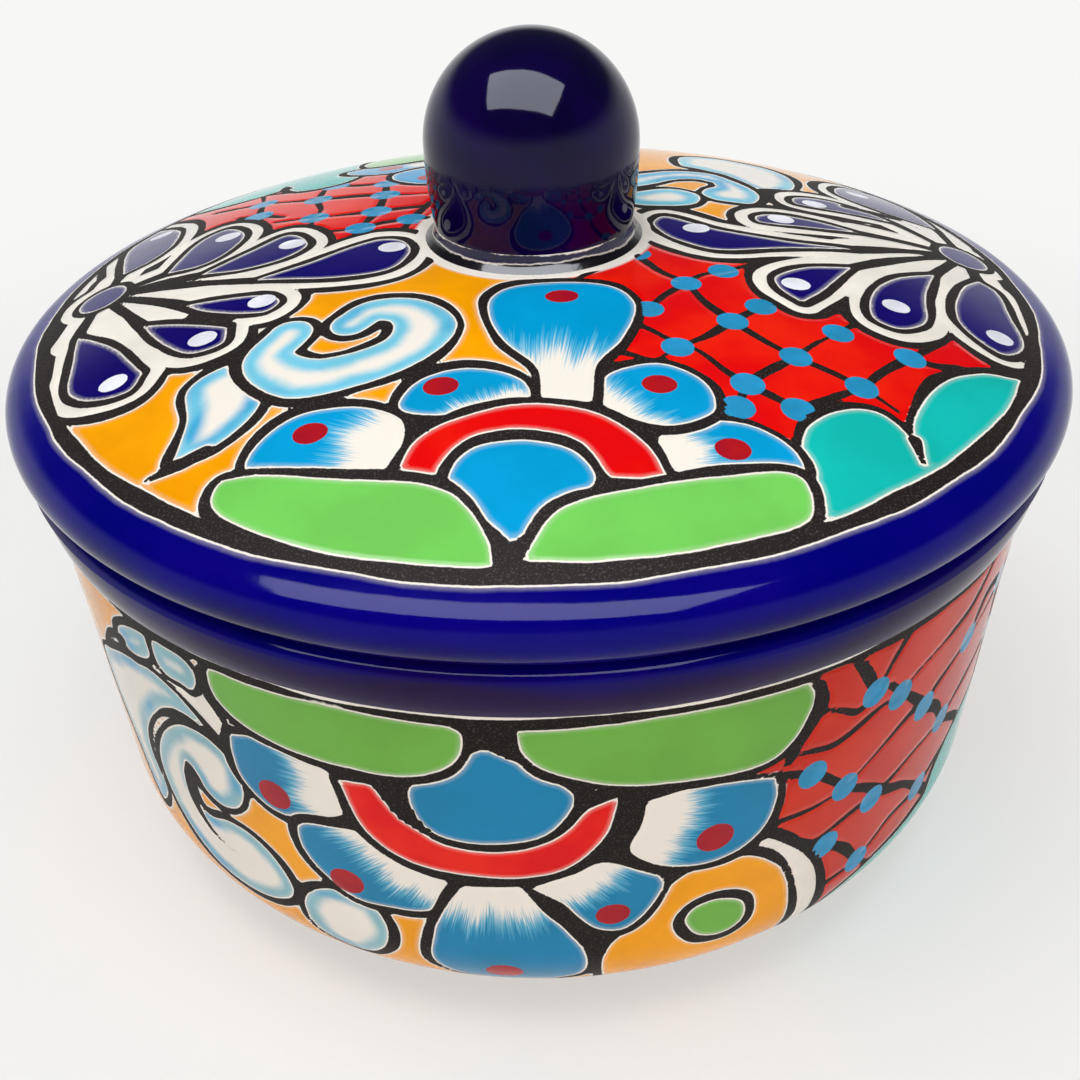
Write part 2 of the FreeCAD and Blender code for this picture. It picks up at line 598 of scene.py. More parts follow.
    def keep_on(self, mesh: bpy.types.Mesh) -> None:
        """Writes the painting on a mesh as vertex attributes.

        Args:
            mesh: the turned shell that the canvas was laid on.
        """
        shades = {"glaze": self.glaze, "dot_glaze": self.dot_glaze}
        values = {"line": self.line, "dot": self.dot, "core": self.core, "clay": self.clay}
        for name, data in shades.items():
            layer = mesh.attributes.new(name, "FLOAT_COLOR", "POINT")
            layer.data.foreach_set("color", data.astype(np.float32).ravel())
        for name, data in values.items():
            layer = mesh.attributes.new(name, "FLOAT", "POINT")
            layer.data.foreach_set("value", data.astype(np.float32))
        layer = mesh.attributes.new("stroke", "FLOAT_VECTOR", "POINT")
        layer.data.foreach_set("vector", self.stroke.astype(np.float32).ravel())


@dataclass(frozen=True)
class Net:
    """A net of slip lines and thicker cords with a blue dot on each knot, over a field of red."""

    lines: tuple[tuple[Point, ...], ...]
    knots: tuple[Point, ...]
    cords: tuple[tuple[Point, ...], ...] = ()
    width: float = 1.9
    cord_width: float = 2.8
    dot: Point = (3.3, 3.2)
    glaze: Glaze = Glaze.RED

    def paint(self, canvas: Canvas, which: np.ndarray) -> None:
        """Paints the net.

        Args:
            canvas: the canvas.
            which: the vertices of the field.
        """
        canvas.cover(which, self.glaze, 0.0)
        for lines, width in ((self.lines, self.width), (self.cords, self.cord_width)):
            for line in lines:
                canvas.draw(line, (width * 0.75, width, width * 0.8))
        for knot in self.knots:
            canvas.spot(knot, self.dot, Glaze.DOT_BLUE)


@dataclass(frozen=True)
class FanDrop:
    """A cobalt drop of a fan: its outline, its white dot and its fine end."""

    outline: Outline | Drop
    dot: Point
    root: Point | None = None

    def taper(self, hub: Point, widths: Point) -> Drop:
        """Draws the slip that runs from the hub to the drop's fine end.

        Args:
            hub: the fan's hub.
            widths: half its width at the hub and at the drop.

        Returns:
            The taper.
        """
        return Drop(hub, self.root or self.outline.points[0], *widths)


@dataclass(frozen=True)
class Fan:
    """A fan of cobalt drops, each set in slip that runs back to the hub."""

    hub: Point
    hub_size: Point
    drops: tuple[FanDrop, ...]
    skirt: tuple[Outline, ...] = ()
    margin: float = 5.6
    slip: float = 1.9
    taper: Point = (0.9, 1.9)
    skirt_line: float = 1.2
    ground_line: float = 2.3
    dot_size: Point = (3.1, 2.7)

    def paint(self, canvas: Canvas) -> None:
        """Paints the fan: white ground, drops, hub and dots.

        Args:
            canvas: the canvas.
        """
        hub = Oval(self.hub, self.hub_size)
        tapers = tuple(drop.taper(self.hub, self.taper) for drop in self.drops)
        outlines = tuple(drop.outline for drop in self.drops)
        for cloth in self.skirt:
            canvas.paint(cloth, Glaze.WHITE, self.skirt_line, 0.0, 0.0)
        ground = Together(outlines + tapers + (hub,), self.margin)
        canvas.paint(ground, Glaze.WHITE, self.ground_line, 0.0, 0.0)
        for drop, taper in zip(self.drops, tapers):
            canvas.slip(taper)
            canvas.slip(drop.outline, self.slip)
        canvas.slip(hub, self.slip)
        for drop in self.drops:
            canvas.inlay(drop.outline, Glaze.FAN_COBALT)
            canvas.spot(drop.dot, self.dot_size, Glaze.DOT_WHITE)
        canvas.inlay(hub, Glaze.FAN_COBALT)


@dataclass(frozen=True)
class Flower:
    """Half a flower: green leaves, a blue drop in a red arch, and five petals."""

    petals: tuple[Petal, ...]
    arch: Outline
    eye: Outline
    leaves: tuple[Outline, ...]
    join: Outline
    blue: Glaze = Glaze.BLUE
    green: Glaze = Glaze.GREEN
    bed: float = 2.2
    arch_bed: float = 4.8

    def paint(self, canvas: Canvas) -> None:
        """Paints the flower over a bed of slip, its petals first.

        Args:
            canvas: the canvas.
        """
        shapes = tuple(petal.outline for petal in self.petals) + (self.arch, self.eye) + self.leaves
        canvas.slip(Together(shapes, 0.0), self.bed)
        canvas.slip(Together((self.arch, self.eye), 0.0), self.arch_bed)
        canvas.slip(self.join)
        for petal in self.petals:
            canvas.paint(petal.outline, self.blue, stroke=Stroke(petal.root, petal.reach))
            canvas.spot(petal.dot, petal.dot_size, Glaze.DOT_RED)
        canvas.paint(self.arch, Glaze.RED)
        canvas.paint(self.eye, self.blue)
        for leaf in self.leaves:
            canvas.paint(leaf, self.green)


@dataclass(frozen=True)
class Scroll:
    """Blue ribbons and leaves with white hearts, on the orange field."""

    ribbons: tuple[Ribbon, ...]
    leaves: tuple[Outline, ...] = ()
    marks: tuple[Mark, ...] = ()
    bare: tuple[Outline, ...] = ()
    glaze: Glaze = Glaze.SKY

    def paint(self, canvas: Canvas) -> None:
        """Paints the bare patches, the leaves, the ribbons and the loose marks.

        Args:
            canvas: the canvas.
        """
        for patch in self.bare:
            canvas.paint(patch, Glaze.WHITE, 0.0, 0.0, 0.0)
        for shape in self.leaves + self.ribbons:
            canvas.paint(shape, self.glaze, cored=True)
        canvas.draw_all(self.marks)


LID_ROOT = (-3.0, -92.0)

LID_FLOWER = Flower(
    petals=(
        Petal(
            Outline(((-52.9, -82.3), (-51.2, -75.3), (-44.6, -70.1), (-33.3, -70.4), (-25.5, -76.2),
                     (-27.5, -88.9), (-42.9, -86.4)), (5,)),
            LID_ROOT, (24.5, 54.0), (-42.2, -75.5)),
        Petal(
            Outline(((21.3, -82.3), (25.3, -78.3), (36.3, -77.5), (44.7, -82.8), (45.6, -88.6),
                     (22.3, -91.2)), (5,)),
            LID_ROOT, (24.0, 49.0), (34.3, -83.7)),
        Petal(
            Outline(((-25.4, -71.6), (-22.4, -63.8), (-13.0, -61.2), (-3.9, -65.6), (-2.7, -71.6),
                     (-12.8, -74.2))),
            LID_ROOT, (17.0, 34.0), (-18.4, -66.2)),
        Petal(
            Outline(((11.1, -72.0), (13.4, -64.6), (23.1, -61.3), (31.1, -66.9), (31.5, -74.5),
                     (21.6, -78.5))),
            LID_ROOT, (20.0, 44.0), (22.6, -67.1)),
        Petal(
            Outline(((-9.5, -37.1), (-5.4, -30.4), (5.3, -28.9), (15.7, -31.6), (19.6, -40.1),
                     (16.1, -53.1), (10.8, -61.5), (9.3, -72.0), (1.0, -71.8), (0.3, -62.2), (-6.3, -52.3)),
                    (7, 8)),
            (-3.0, -110.0), (36.0, 86.0), (5.3, -35.3)),
    ),
    arch=Outline(((-25.7, -89.1), (-21.7, -80.5), (-12.8, -75.0), (-1.8, -73.0), (10.9, -76.1),
                  (18.5, -83.7), (21.4, -91.3), (12.2, -90.8), (7.0, -82.5), (-2.8, -79.6),
                  (-12.6, -82.7), (-17.8, -90.5)), (0, 6, 7, 11)),
    eye=Outline(((-16.3, -91.8), (-12.6, -84.0), (-3.7, -82.1), (5.1, -84.9), (8.7, -91.9),
                 (2.9, -97.2), (-5.3, -104.0), (-10.7, -97.6)), (6,)),
    leaves=(
        Outline(((-58.6, -89.0), (-56.9, -84.2), (-37.4, -87.8), (-17.7, -92.7), (-9.9, -103.7),
                 (-9.0, -108.6), (-19.0, -109.3), (-41.5, -101.0), (-52.8, -94.7)), (5,)),
        Outline(((-3.2, -107.9), (2.9, -98.3), (16.9, -94.1), (34.7, -89.8), (45.5, -89.3),
                 (45.5, -98.3), (29.5, -104.8), (9.2, -108.6)), (0,)),
    ),
    join=Outline(((-11.0, -104.0), (-5.5, -101.0), (-1.0, -104.0), (1.5, -112.0), (-13.0, -112.0)), (3, 4)),
)

BACK_FLOWER = replace(
    LID_FLOWER,
    petals=LID_FLOWER.petals[1:4],
    leaves=(
        Outline(((-9.0, -140.0), (-9.4, -103.7), (-16.7, -97.7), (-21.0, -98.0), (-25.0, -106.0),
                 (-26.0, -140.0)), (0, 5)),
        Outline(((-3.2, -140.0), (-2.7, -107.0), (2.9, -98.3), (16.9, -94.1), (34.7, -89.8), (41.0, -92.3),
                 (42.5, -104.0), (38.0, -140.0)), (0, 7)),
    ),
)

LEFT_FAN = Fan(
    hub=(-99.9, -3.1),
    hub_size=(5.6, 6.2),
    skirt=(Outline(((-97.0, -3.0), (-103.0, -24.0), (-112.0, -34.0), (-118.0, 0.0), (-110.0, 36.0),
                    (-101.0, 22.0)), (0, 2, 4)),),
    drops=(
        FanDrop(
            Outline(((-101.0, -21.2), (-91.0, -30.7), (-80.0, -46.0), (-82.0, -51.3), (-90.7, -50.6),
                     (-96.5, -45.3), (-98.8, -33.5)), (0, 2)),
            (-86.4, -46.6)),
        FanDrop(
            Outline(((-84.9, -25.8), (-76.9, -29.2), (-64.0, -35.7), (-64.1, -41.8), (-70.7, -43.1),
                     (-78.4, -36.0)), (0, 2)),
            (-69.0, -38.3)),
        FanDrop(
            Outline(((-76.1, -21.5), (-65.1, -22.8), (-57.2, -24.6), (-54.0, -28.6), (-57.2, -32.1),
                     (-68.9, -27.7)), (0,)),
            (-58.1, -26.9)),
        FanDrop(
            Outline(((-61.5, -16.0), (-50.2, -11.0), (-36.1, -1.6), (-29.9, -2.6), (-27.6, -9.9),
                     (-31.7, -18.8), (-43.1, -20.5)), (0,)),
            (-31.8, -6.3)),
        FanDrop(
            Outline(((-75.5, -6.6), (-64.5, 2.3), (-57.2, 8.2), (-51.6, 0.1), (-55.7, -6.2),
                     (-65.1, -8.9)), (0,)),
            (-55.6, 1.7)),
        FanDrop(
            Outline(((-84.8, 0.0), (-80.6, 17.8), (-74.8, 22.5), (-68.9, 14.4), (-71.2, 4.3),
                     (-76.7, -0.6)), (0,)),
            (-73.3, 15.8)),
        FanDrop(
            Outline(((-98.5, 10.0), (-103.3, 32.5), (-101.0, 50.9), (-90.6, 36.8), (-88.6, 22.7),
                     (-92.1, 14.1)), (0, 2)),
            (-96.0, 38.7)),
    ),
)

RIGHT_FAN = Fan(
    hub=(102.1, 8.2),
    hub_size=(5.8, 6.4),
    skirt=(Outline(((99.0, 8.0), (104.0, -12.0), (110.0, -30.0), (118.0, 8.0), (110.0, 40.0),
                    (101.0, 28.0)), (0, 2, 4)),),
    drops=(
        FanDrop(
            Outline(((101.5, -6.0), (104.7, -9.5), (104.2, -22.0), (103.2, -34.7), (96.9, -41.1),
                     (91.6, -37.0), (89.4, -29.8), (95.0, -14.2)), (0,)),
            (98.0, -34.0)),
        FanDrop(
            Outline(((89.9, -9.8), (84.3, -23.3), (81.1, -35.7), (74.3, -40.4), (69.4, -37.4),
                     (71.7, -26.9), (78.5, -17.6)), (0,)),
            (75.9, -30.7)),
        FanDrop(
            Outline(((69.8, -15.1), (60.5, -28.9), (55.0, -35.1), (51.0, -29.6), (51.3, -24.2),
                     (58.7, -18.4)), (0, 2)),
            (55.1, -27.0)),
        FanDrop(
            Outline(((72.7, -4.4), (53.7, -9.5), (40.2, -12.3), (31.2, -6.0), (27.4, 3.2), (30.5, 7.7),
                     (41.8, -0.3), (57.2, -4.6)), (0,)),
            (37.0, 0.2)),
        FanDrop(
            Outline(((76.6, 7.6), (65.6, 6.0), (52.6, 5.9), (52.0, 9.9), (57.0, 12.5), (66.6, 11.1)),
                    (0,)),
            (58.1, 9.6)),
        FanDrop(
            Outline(((88.5, 23.0), (76.1, 22.6), (64.4, 23.4), (64.8, 28.9), (73.3, 31.5), (82.5, 27.4)),
                    (0,)),
            (69.2, 25.8)),
        FanDrop(
            Outline(((101.5, 29.3), (88.7, 32.5), (79.1, 41.6), (80.3, 52.0), (86.1, 59.2),
                     (95.0, 56.4), (99.5, 42.8)), (0,)),
            (85.6, 49.4)),
    ),
)

LID_SCROLL = Scroll(
    ribbons=(
        Ribbon(((-50.0, -43.0), (-53.5, -51.0), (-46.0, -59.0), (-36.0, -58.5), (-26.0, -53.5),
                (-22.5, -46.0), (-26.0, -39.0), (-33.0, -37.5), (-37.5, -42.0)),
               (9.0, 10.0, 11.5, 10.0, 11.0, 12.0, 10.0, 8.5, 8.0)),
    ),
    leaves=(
        Outline(((-68.3, -56.1), (-61.1, -50.5), (-53.3, -55.1), (-53.7, -66.5), (-60.3, -74.2),
                 (-68.0, -76.0), (-66.5, -66.0)), (5,)),
    ),
    marks=((((-62.0, -75.5), (-66.5, -77.5), (-72.5, -79.5)), (3.2, 2.6, 0.8)),),
)

BACK_SCROLL = Scroll(
    ribbons=(),
    leaves=(
        Outline(((-41.1, -66.6), (-49.8, -72.0), (-56.7, -70.3), (-63.1, -66.0), (-67.4, -55.9),
                 (-67.3, -43.9), (-63.3, -34.4), (-56.9, -31.4), (-53.0, -36.7), (-48.9, -45.0),
                 (-43.9, -49.8), (-39.5, -53.0))),
        Outline(((-24.0, -37.0), (-32.0, -42.5), (-39.0, -45.2), (-46.4, -44.2), (-50.5, -38.9),
                 (-54.0, -32.3), (-55.5, -25.9), (-52.8, -19.6), (-48.8, -19.3), (-44.1, -20.8),
                 (-42.0, -24.6), (-43.1, -28.2), (-46.0, -31.8), (-45.6, -35.6), (-41.1, -37.6),
                 (-35.0, -36.0), (-29.9, -31.9), (-24.0, -29.0)), (13,)),
        Outline(((-22.0, -22.0), (-29.2, -26.2), (-34.3, -26.9), (-39.0, -24.0), (-39.8, -20.0),
                 (-37.6, -16.1), (-32.9, -14.8), (-24.7, -16.3))),
    ),
)

LID_SCALLOP = Outline(
    ((46.3, -89.6), (48.9, -77.3), (55.9, -71.3), (63.7, -70.6), (69.3, -77.5), (71.2, -70.1),
     (78.5, -58.0), (88.6, -51.3), (97.8, -49.2), (116.0, -50.0), (104.0, -84.0), (78.0, -104.0),
     (48.0, -112.0)), (0, 4, 8, 9, 12))

BACK_SCALLOP = Outline(
    ((45.8, -114.0), (44.0, -75.3), (45.2, -56.5), (48.8, -49.0), (54.7, -46.6), (60.5, -48.1),
     (65.5, -56.0), (70.8, -54.0), (78.2, -53.4), (87.3, -56.5), (97.3, -64.7), (106.0, -70.0),
     (90.0, -98.0), (62.0, -114.0)), (0, 6, 11, 13))

BACK_NET = Net(
    lines=(
        ((82.7, -45.8), (73.9, -42.2), (68.9, -40.5), (60.0, -36.0), (53.7, -33.4), (45.9, -32.0),
         (36.3, -30.0), (30.6, -28.6), (20.0, -28.3)),
        ((73.2, -30.5), (67.9, -28.1), (60.7, -22.8)),
        ((62.1, -19.4), (52.5, -18.0), (45.7, -17.4), (37.4, -17.5), (29.9, -18.6), (18.5, -20.0)),
        ((50.9, -7.5), (45.2, -6.6), (40.3, -6.9), (34.9, -9.3), (28.5, -10.6), (18.4, -11.6)),
        ((69.5, -52.2), (60.0, -46.7), (50.6, -45.2), (43.7, -42.0), (36.6, -40.6), (28.2, -38.0),
         (16.6, -37.1)),
        ((71.0, -52.0), (68.9, -40.5), (67.9, -28.1), (66.0, -18.0)),
        ((52.4, -50.6), (53.7, -33.4), (51.6, -23.3), (52.5, -18.0), (52.5, -9.6)),
        ((33.9, -48.5), (36.6, -40.6), (36.3, -30.0), (37.4, -17.5), (40.3, -6.9), (42.5, 1.5)),
        ((22.6, -28.8), (25.6, -18.8), (28.5, -10.6), (30.5, -1.0)),
    ),
    knots=((67.9, -28.1), (68.9, -40.5), (52.5, -18.0), (53.7, -33.4), (40.3, -6.9), (37.4, -17.5),
           (36.3, -30.0), (36.6, -40.6), (50.6, -45.2), (28.5, -10.6)),
    dot=(3.7, 3.4),
)

LID_NET = Net(
    lines=(
        ((6.0, -30.0), (12.0, -23.7), (18.8, -15.4), (23.5, -10.0)),
        ((21.8, -14.4), (26.6, -24.0), (31.4, -29.7), (34.5, -37.8), (39.2, -44.9), (44.5, -51.1),
         (50.1, -55.9), (56.1, -59.4), (61.7, -63.2), (68.0, -68.9)),
        ((50.0, -17.5), (40.1, -23.3), (35.3, -25.4), (31.4, -29.7), (26.3, -35.3), (22.5, -41.2)),
        ((15.2, -44.8), (21.6, -48.6), (26.0, -52.9), (31.0, -56.1), (35.6, -62.3), (39.3, -65.8),
         (43.8, -69.1), (47.9, -72.0)),
        ((27.1, -55.2), (22.7, -60.0), (18.0, -66.0)),
        ((12.4, -55.5), (20.8, -59.4)),
        ((52.0, -31.0), (45.8, -38.4), (39.2, -44.9), (33.0, -51.2), (27.1, -55.2)),
        ((68.0, -38.0), (60.4, -45.7), (55.0, -50.5), (50.1, -55.9), (43.7, -61.4), (39.3, -65.8),
         (36.6, -72.8), (33.0, -80.0)),
        ((84.0, -42.0), (74.2, -50.7), (67.5, -56.8), (61.7, -63.2), (56.0, -67.1), (47.9, -72.0)),
        ((74.2, -50.7), (79.3, -51.7), (84.6, -50.4)),
    ),
    knots=((22.1, -14.7), (40.1, -23.3), (45.8, -38.4), (60.4, -45.7), (74.2, -50.7), (31.4, -29.7),
           (39.2, -44.9), (50.1, -55.9), (61.7, -63.2), (22.5, -41.2), (27.1, -55.2), (39.3, -65.8),
           (47.9, -72.0), (36.6, -72.8)),
)


def side(*pairs: Point) -> tuple[Point, ...]:
    """Lays points of the bowl's side on its flat drawing.

    Args:
        pairs: each an angle in degrees from the front and a height in millimetres.

    Returns:
        Distance round and distance down from the band, in millimetres.
    """
    return tuple((angle * SIDE_MM_PER_DEGREE, BAND_FOOT - height) for angle, height in pairs)


EYE_ROOT = side((-5.7, 76.5))[0]

SIDE_FLOWER = Flower(
    petals=(
        Petal(
            Outline(((-65.4, 19.6), (-58.4, 17.5), (-48.7, 19.0), (-42.2, 21.2), (-41.6, 24.6), (-39.5, 29.1),
                     (-42.6, 32.4), (-52.3, 37.0), (-59.1, 37.0), (-65.4, 31.5), (-66.4, 24.6)), (0, 5)),
            EYE_ROOT, (30.0, 58.0), (-57.3, 32.6), (3.9, 3.9)),
        Petal(
            Outline(((-52.4, 39.1), (-44.1, 36.4), (-36.6, 36.4), (-28.1, 41.4), (-20.5, 47.0), (-22.5, 52.7),
                     (-26.2, 56.4), (-33.8, 57.4), (-42.5, 57.0), (-49.5, 51.6), (-53.0, 45.6)), (4,)),
            EYE_ROOT, (24.0, 54.0), (-43.6, 52.8), (3.9, 3.6)),
        Petal(
            Outline(((18.3, 24.2), (25.8, 22.9), (35.6, 24.2), (43.7, 26.4), (45.0, 31.6), (43.3, 39.6),
                     (39.2, 43.6), (32.4, 45.2), (24.6, 44.0), (19.0, 41.4), (15.2, 37.2),
                     (17.0, 30.7)), (0, 3)),
            EYE_ROOT, (30.0, 58.0), (32.4, 38.5), (4.0, 3.9)),
        Petal(
            Outline(((10.1, 40.4), (21.1, 46.9), (21.7, 49.8), (18.3, 57.4), (14.0, 61.4), (9.0, 60.6),
                     (5.2, 57.0), (1.6, 51.4), (-3.6, 46.9), (4.3, 43.4)), (1, 8)),
            EYE_ROOT, (24.0, 50.0), (12.1, 56.5), (3.6, 3.2)),
        Petal(
            Outline(((-18.3, 47.2), (-21.4, 53.5), (-25.3, 64.2), (-25.7, 75.0), (-11.9, 86.2), (4.2, 79.0),
                     (6.3, 71.0), (2.4, 60.7), (-2.4, 54.2), (-6.8, 47.0)), (0, 9)),
            EYE_ROOT, (20.0, 62.0), side((-5.6, 22.1))[0], (4.2, 3.6)),
    ),
    arch=Outline(side((-20.4, 76.9), (-18.6, 64.3), (-13.8, 56.8), (-5.8, 54.9), (1.2, 58.0),
                      (5.1, 67.0), (6.1, 76.2), (3.6, 74.2), (-0.7, 64.8), (-7.5, 62.8),
                      (-14.3, 67.8), (-17.2, 77.6)), (0, 6, 7, 11)),
    eye=Outline(side((-13.2, 77.9), (-10.0, 85.4), (-5.8, 90.1), (-0.9, 84.2), (2.0, 77.2),
                     (-0.7, 67.9), (-6.5, 64.9), (-11.6, 67.6)), (2,)),
    leaves=(
        Outline(((-67.0, 3.4), (-64.4, 2.6), (-52.0, 2.4), (-38.5, 2.4), (-27.8, 2.6), (-18.0, 3.2),
                 (-16.0, 4.8), (-16.9, 10.3), (-20.5, 14.4), (-29.2, 17.5), (-40.4, 17.5), (-52.2, 16.4),
                 (-61.8, 14.2), (-66.8, 10.0)), (5,)),
        Outline(((-5.4, 3.6), (5.4, 2.8), (15.9, 2.5), (26.9, 2.6), (38.5, 2.8), (48.4, 3.2), (50.0, 7.6),
                 (48.9, 13.0), (46.5, 17.3), (42.5, 20.2), (34.1, 20.8), (22.1, 19.6), (10.8, 17.6),
                 (-0.1, 13.6), (-4.4, 9.0)), (0, 5)),
    ),
    join=Outline(((-19.0, 1.5), (-3.0, 1.5), (-6.0, 8.5), (-11.5, 10.0), (-17.0, 8.5)), (0, 1)),
    blue=Glaze.BOWL_BLUE,
    green=Glaze.BOWL_GREEN,
)

SIDE_NET = Net(
    lines=(
        ((46.0, 8.0), (57.5, 13.9), (62.9, 16.7), (66.7, 13.9), (69.8, 8.0), (74.0, 1.0)),
        ((61.0, 2.0), (64.4, 8.1), (66.0, 10.9)),
        ((44.0, 20.3), (52.2, 22.3), (58.3, 23.2), (69.6, 19.0), (75.0, 19.3), (78.7, 16.0),
         (90.8, 11.9), (98.5, 9.3), (106.0, 2.0)),
        ((40.3, 39.3), (54.0, 40.0), (63.3, 38.4), (72.2, 32.6), (81.6, 27.6), (86.1, 29.3),
         (89.4, 25.5), (101.6, 20.3), (118.0, 15.0), (130.0, 8.0)),
        ((52.0, 53.0), (61.1, 50.2), (68.8, 47.9), (73.2, 48.3), (77.4, 46.6), (86.8, 42.8),
         (97.5, 40.7), (103.8, 37.2), (121.0, 31.0), (138.0, 27.0)),
        ((52.0, 70.0), (66.0, 68.3), (72.7, 67.2), (76.1, 65.2), (82.9, 60.6), (93.7, 59.1),
         (104.5, 54.4), (113.8, 51.9), (124.1, 48.5), (140.0, 44.0)),
    ),
    cords=(
        ((71.0, 14.3), (75.0, 18.3), (82.7, 25.4), (86.1, 29.3), (92.6, 33.8), (97.5, 40.7),
         (104.2, 45.0), (113.8, 51.9), (122.0, 58.0)),
        ((59.0, 2.0), (63.4, 8.1), (66.7, 13.9)),
        ((44.0, 25.0), (53.4, 29.5), (59.8, 34.6), (63.3, 38.4), (71.1, 43.3), (76.9, 47.8),
         (86.0, 52.5), (93.7, 59.1), (101.0, 66.0)),
        ((50.0, 47.0), (60.9, 54.6), (67.5, 60.0), (72.7, 67.2), (80.0, 74.0)),
        ((101.6, 20.3), (108.0, 12.0), (118.0, 15.0), (121.0, 31.0), (124.1, 48.5)),
    ),
    knots=((66.7, 13.9), (75.0, 19.3), (86.1, 29.3), (97.5, 40.7), (113.8, 51.9), (53.4, 29.5),
           (63.3, 38.4), (73.2, 48.3), (93.7, 59.1), (60.9, 54.6), (72.7, 67.2), (118.0, 15.0),
           (121.0, 31.0), (101.6, 20.3)),
    width=1.5,
    dot=(3.5, 3.7),
    glaze=Glaze.NET_RED,
)

SIDE_TEAL = Outline(((63.0, 96.0), (67.0, 79.3), (78.0, 73.4), (90.0, 70.5), (101.3, 67.5), (104.0, 58.0),
                     (112.0, 52.0), (126.0, 49.0), (140.0, 58.0), (150.0, 76.0), (150.0, 96.0)), (0, 4, 10))

SIDE_LOBE = Outline(((36.0, 43.0), (41.1, 41.6), (47.2, 45.5), (53.5, 52.5), (58.1, 59.5), (60.6, 67.9),
                     (60.6, 80.0), (57.0, 96.0), (20.0, 96.0), (14.0, 70.0)), (0, 7, 8))

SIDE_SUN = Outline(((12.3, 96.0), (10.6, 72.0), (13.0, 65.5), (20.4, 58.3), (24.0, 51.0), (28.0, 47.6),
                    (33.6, 46.2), (41.3, 47.8), (48.0, 54.4), (51.7, 64.1), (53.0, 75.5),
                    (51.0, 96.0)), (0, 11))

SUN_EYE = Outline(((27.6, 63.2), (29.4, 59.4), (34.7, 58.4), (40.4, 61.6), (41.0, 67.4), (37.1, 70.2),
                   (31.0, 68.7)))

SIDE_FAN = Fan(
    hub=(179.1, 8.0),
    hub_size=(6.4, 5.6),
    drops=(
        FanDrop(Drop((163.0, 8.0), (139.0, 12.5), 1.0, 6.8), (137.0, 13.0), (164.0, 8.0)),
        FanDrop(Drop((166.0, 18.0), (147.0, 32.0), 0.8, 6.4), (145.5, 33.5), (167.0, 17.5)),
        FanDrop(Drop((172.5, 25.0), (161.0, 48.0), 0.8, 6.4), (160.0, 50.0), (172.5, 25.0)),
        FanDrop(Drop((179.1, 28.0), (179.1, 62.0), 1.2, 7.8), (179.1, 65.0), (179.1, 28.0)),
        FanDrop(Drop((185.7, 25.0), (197.2, 48.0), 0.8, 6.4), (198.2, 50.0), (185.7, 25.0)),
        FanDrop(Drop((192.2, 18.0), (211.2, 32.0), 0.8, 6.4), (212.7, 33.5), (191.2, 17.5)),
        FanDrop(Drop((195.2, 8.0), (219.2, 12.5), 1.0, 6.8), (221.2, 13.0), (194.2, 8.0)),
    ),
    skirt=(Outline(((160.0, 4.0), (179.1, 10.0), (198.0, 4.0), (198.0, -2.0), (160.0, -2.0)), (0, 2, 3, 4)),),
    dot_size=(2.9, 2.9),
)

SIDE_SCROLL = Scroll(
    ribbons=(),
    leaves=(
        Outline(((-54.2, 61.5), (-47.8, 57.6), (-39.3, 58.8), (-36.0, 65.5), (-37.6, 72.4), (-44.7, 78.8),
                 (-52.9, 75.4), (-56.0, 67.1))),
        Outline(((-118.0, 28.0), (-109.7, 22.2), (-100.0, 17.0), (-89.1, 14.6), (-81.3, 16.0),
                 (-75.5, 19.4), (-70.5, 24.0), (-77.5, 20.8), (-84.5, 22.0), (-94.0, 29.5), (-101.2, 39.7),
                 (-103.8, 49.8), (-101.7, 58.7), (-108.0, 66.0), (-114.0, 50.0), (-119.0, 38.0)), (6,)),
        Outline(((-82.5, 26.5), (-74.8, 24.5), (-69.3, 26.9), (-66.8, 31.9), (-67.2, 37.8), (-69.9, 42.4),
                 (-74.8, 45.0), (-79.2, 43.5), (-81.2, 39.6), (-82.8, 37.8), (-84.8, 41.0), (-85.6, 47.0),
                 (-84.0, 51.5), (-80.6, 52.6), (-74.3, 50.3), (-67.2, 50.8), (-61.8, 55.2), (-58.9, 62.0),
                 (-60.7, 66.5), (-67.1, 70.0), (-75.6, 71.0), (-84.5, 69.1), (-92.5, 64.0), (-97.2, 56.6),
                 (-98.0, 46.6), (-92.5, 36.4))),
        Outline(((-97.6, 8.5), (-91.5, 5.0), (-85.8, 4.4), (-87.2, 9.9), (-93.7, 12.8), (-98.9, 12.1))),
        Outline(((-82.8, 3.9), (-79.2, 3.6), (-74.2, 4.0), (-71.9, 6.5), (-73.9, 11.2), (-77.0, 10.9),
                 (-81.2, 11.0), (-83.2, 9.2))),
    ),
    marks=(
        (((-84.0, 39.0), (-86.0, 44.4), (-86.2, 51.5), (-82.3, 58.0), (-75.2, 61.0)),
         (2.6, 2.6, 2.4, 1.8, 0.9)),
        (((-68.6, 4.8), (-69.3, 10.1), (-67.4, 14.6), (-65.6, 17.7)), (4.4, 3.2, 2.0, 2.0)),
        (((-112.0, 21.0), (-104.0, 13.5), (-97.5, 11.5)), (1.6, 2.2, 2.4)),
    ),
    bare=(Outline(((-98.0, 15.0), (-88.0, 9.0), (-84.5, 8.0), (-76.0, 9.5), (-70.0, 8.0), (-66.0, 17.0),
                   (-67.5, 24.0), (-72.0, 20.5), (-80.0, 15.0), (-90.0, 13.6)), (0,)),),
    glaze=Glaze.PALE,
)

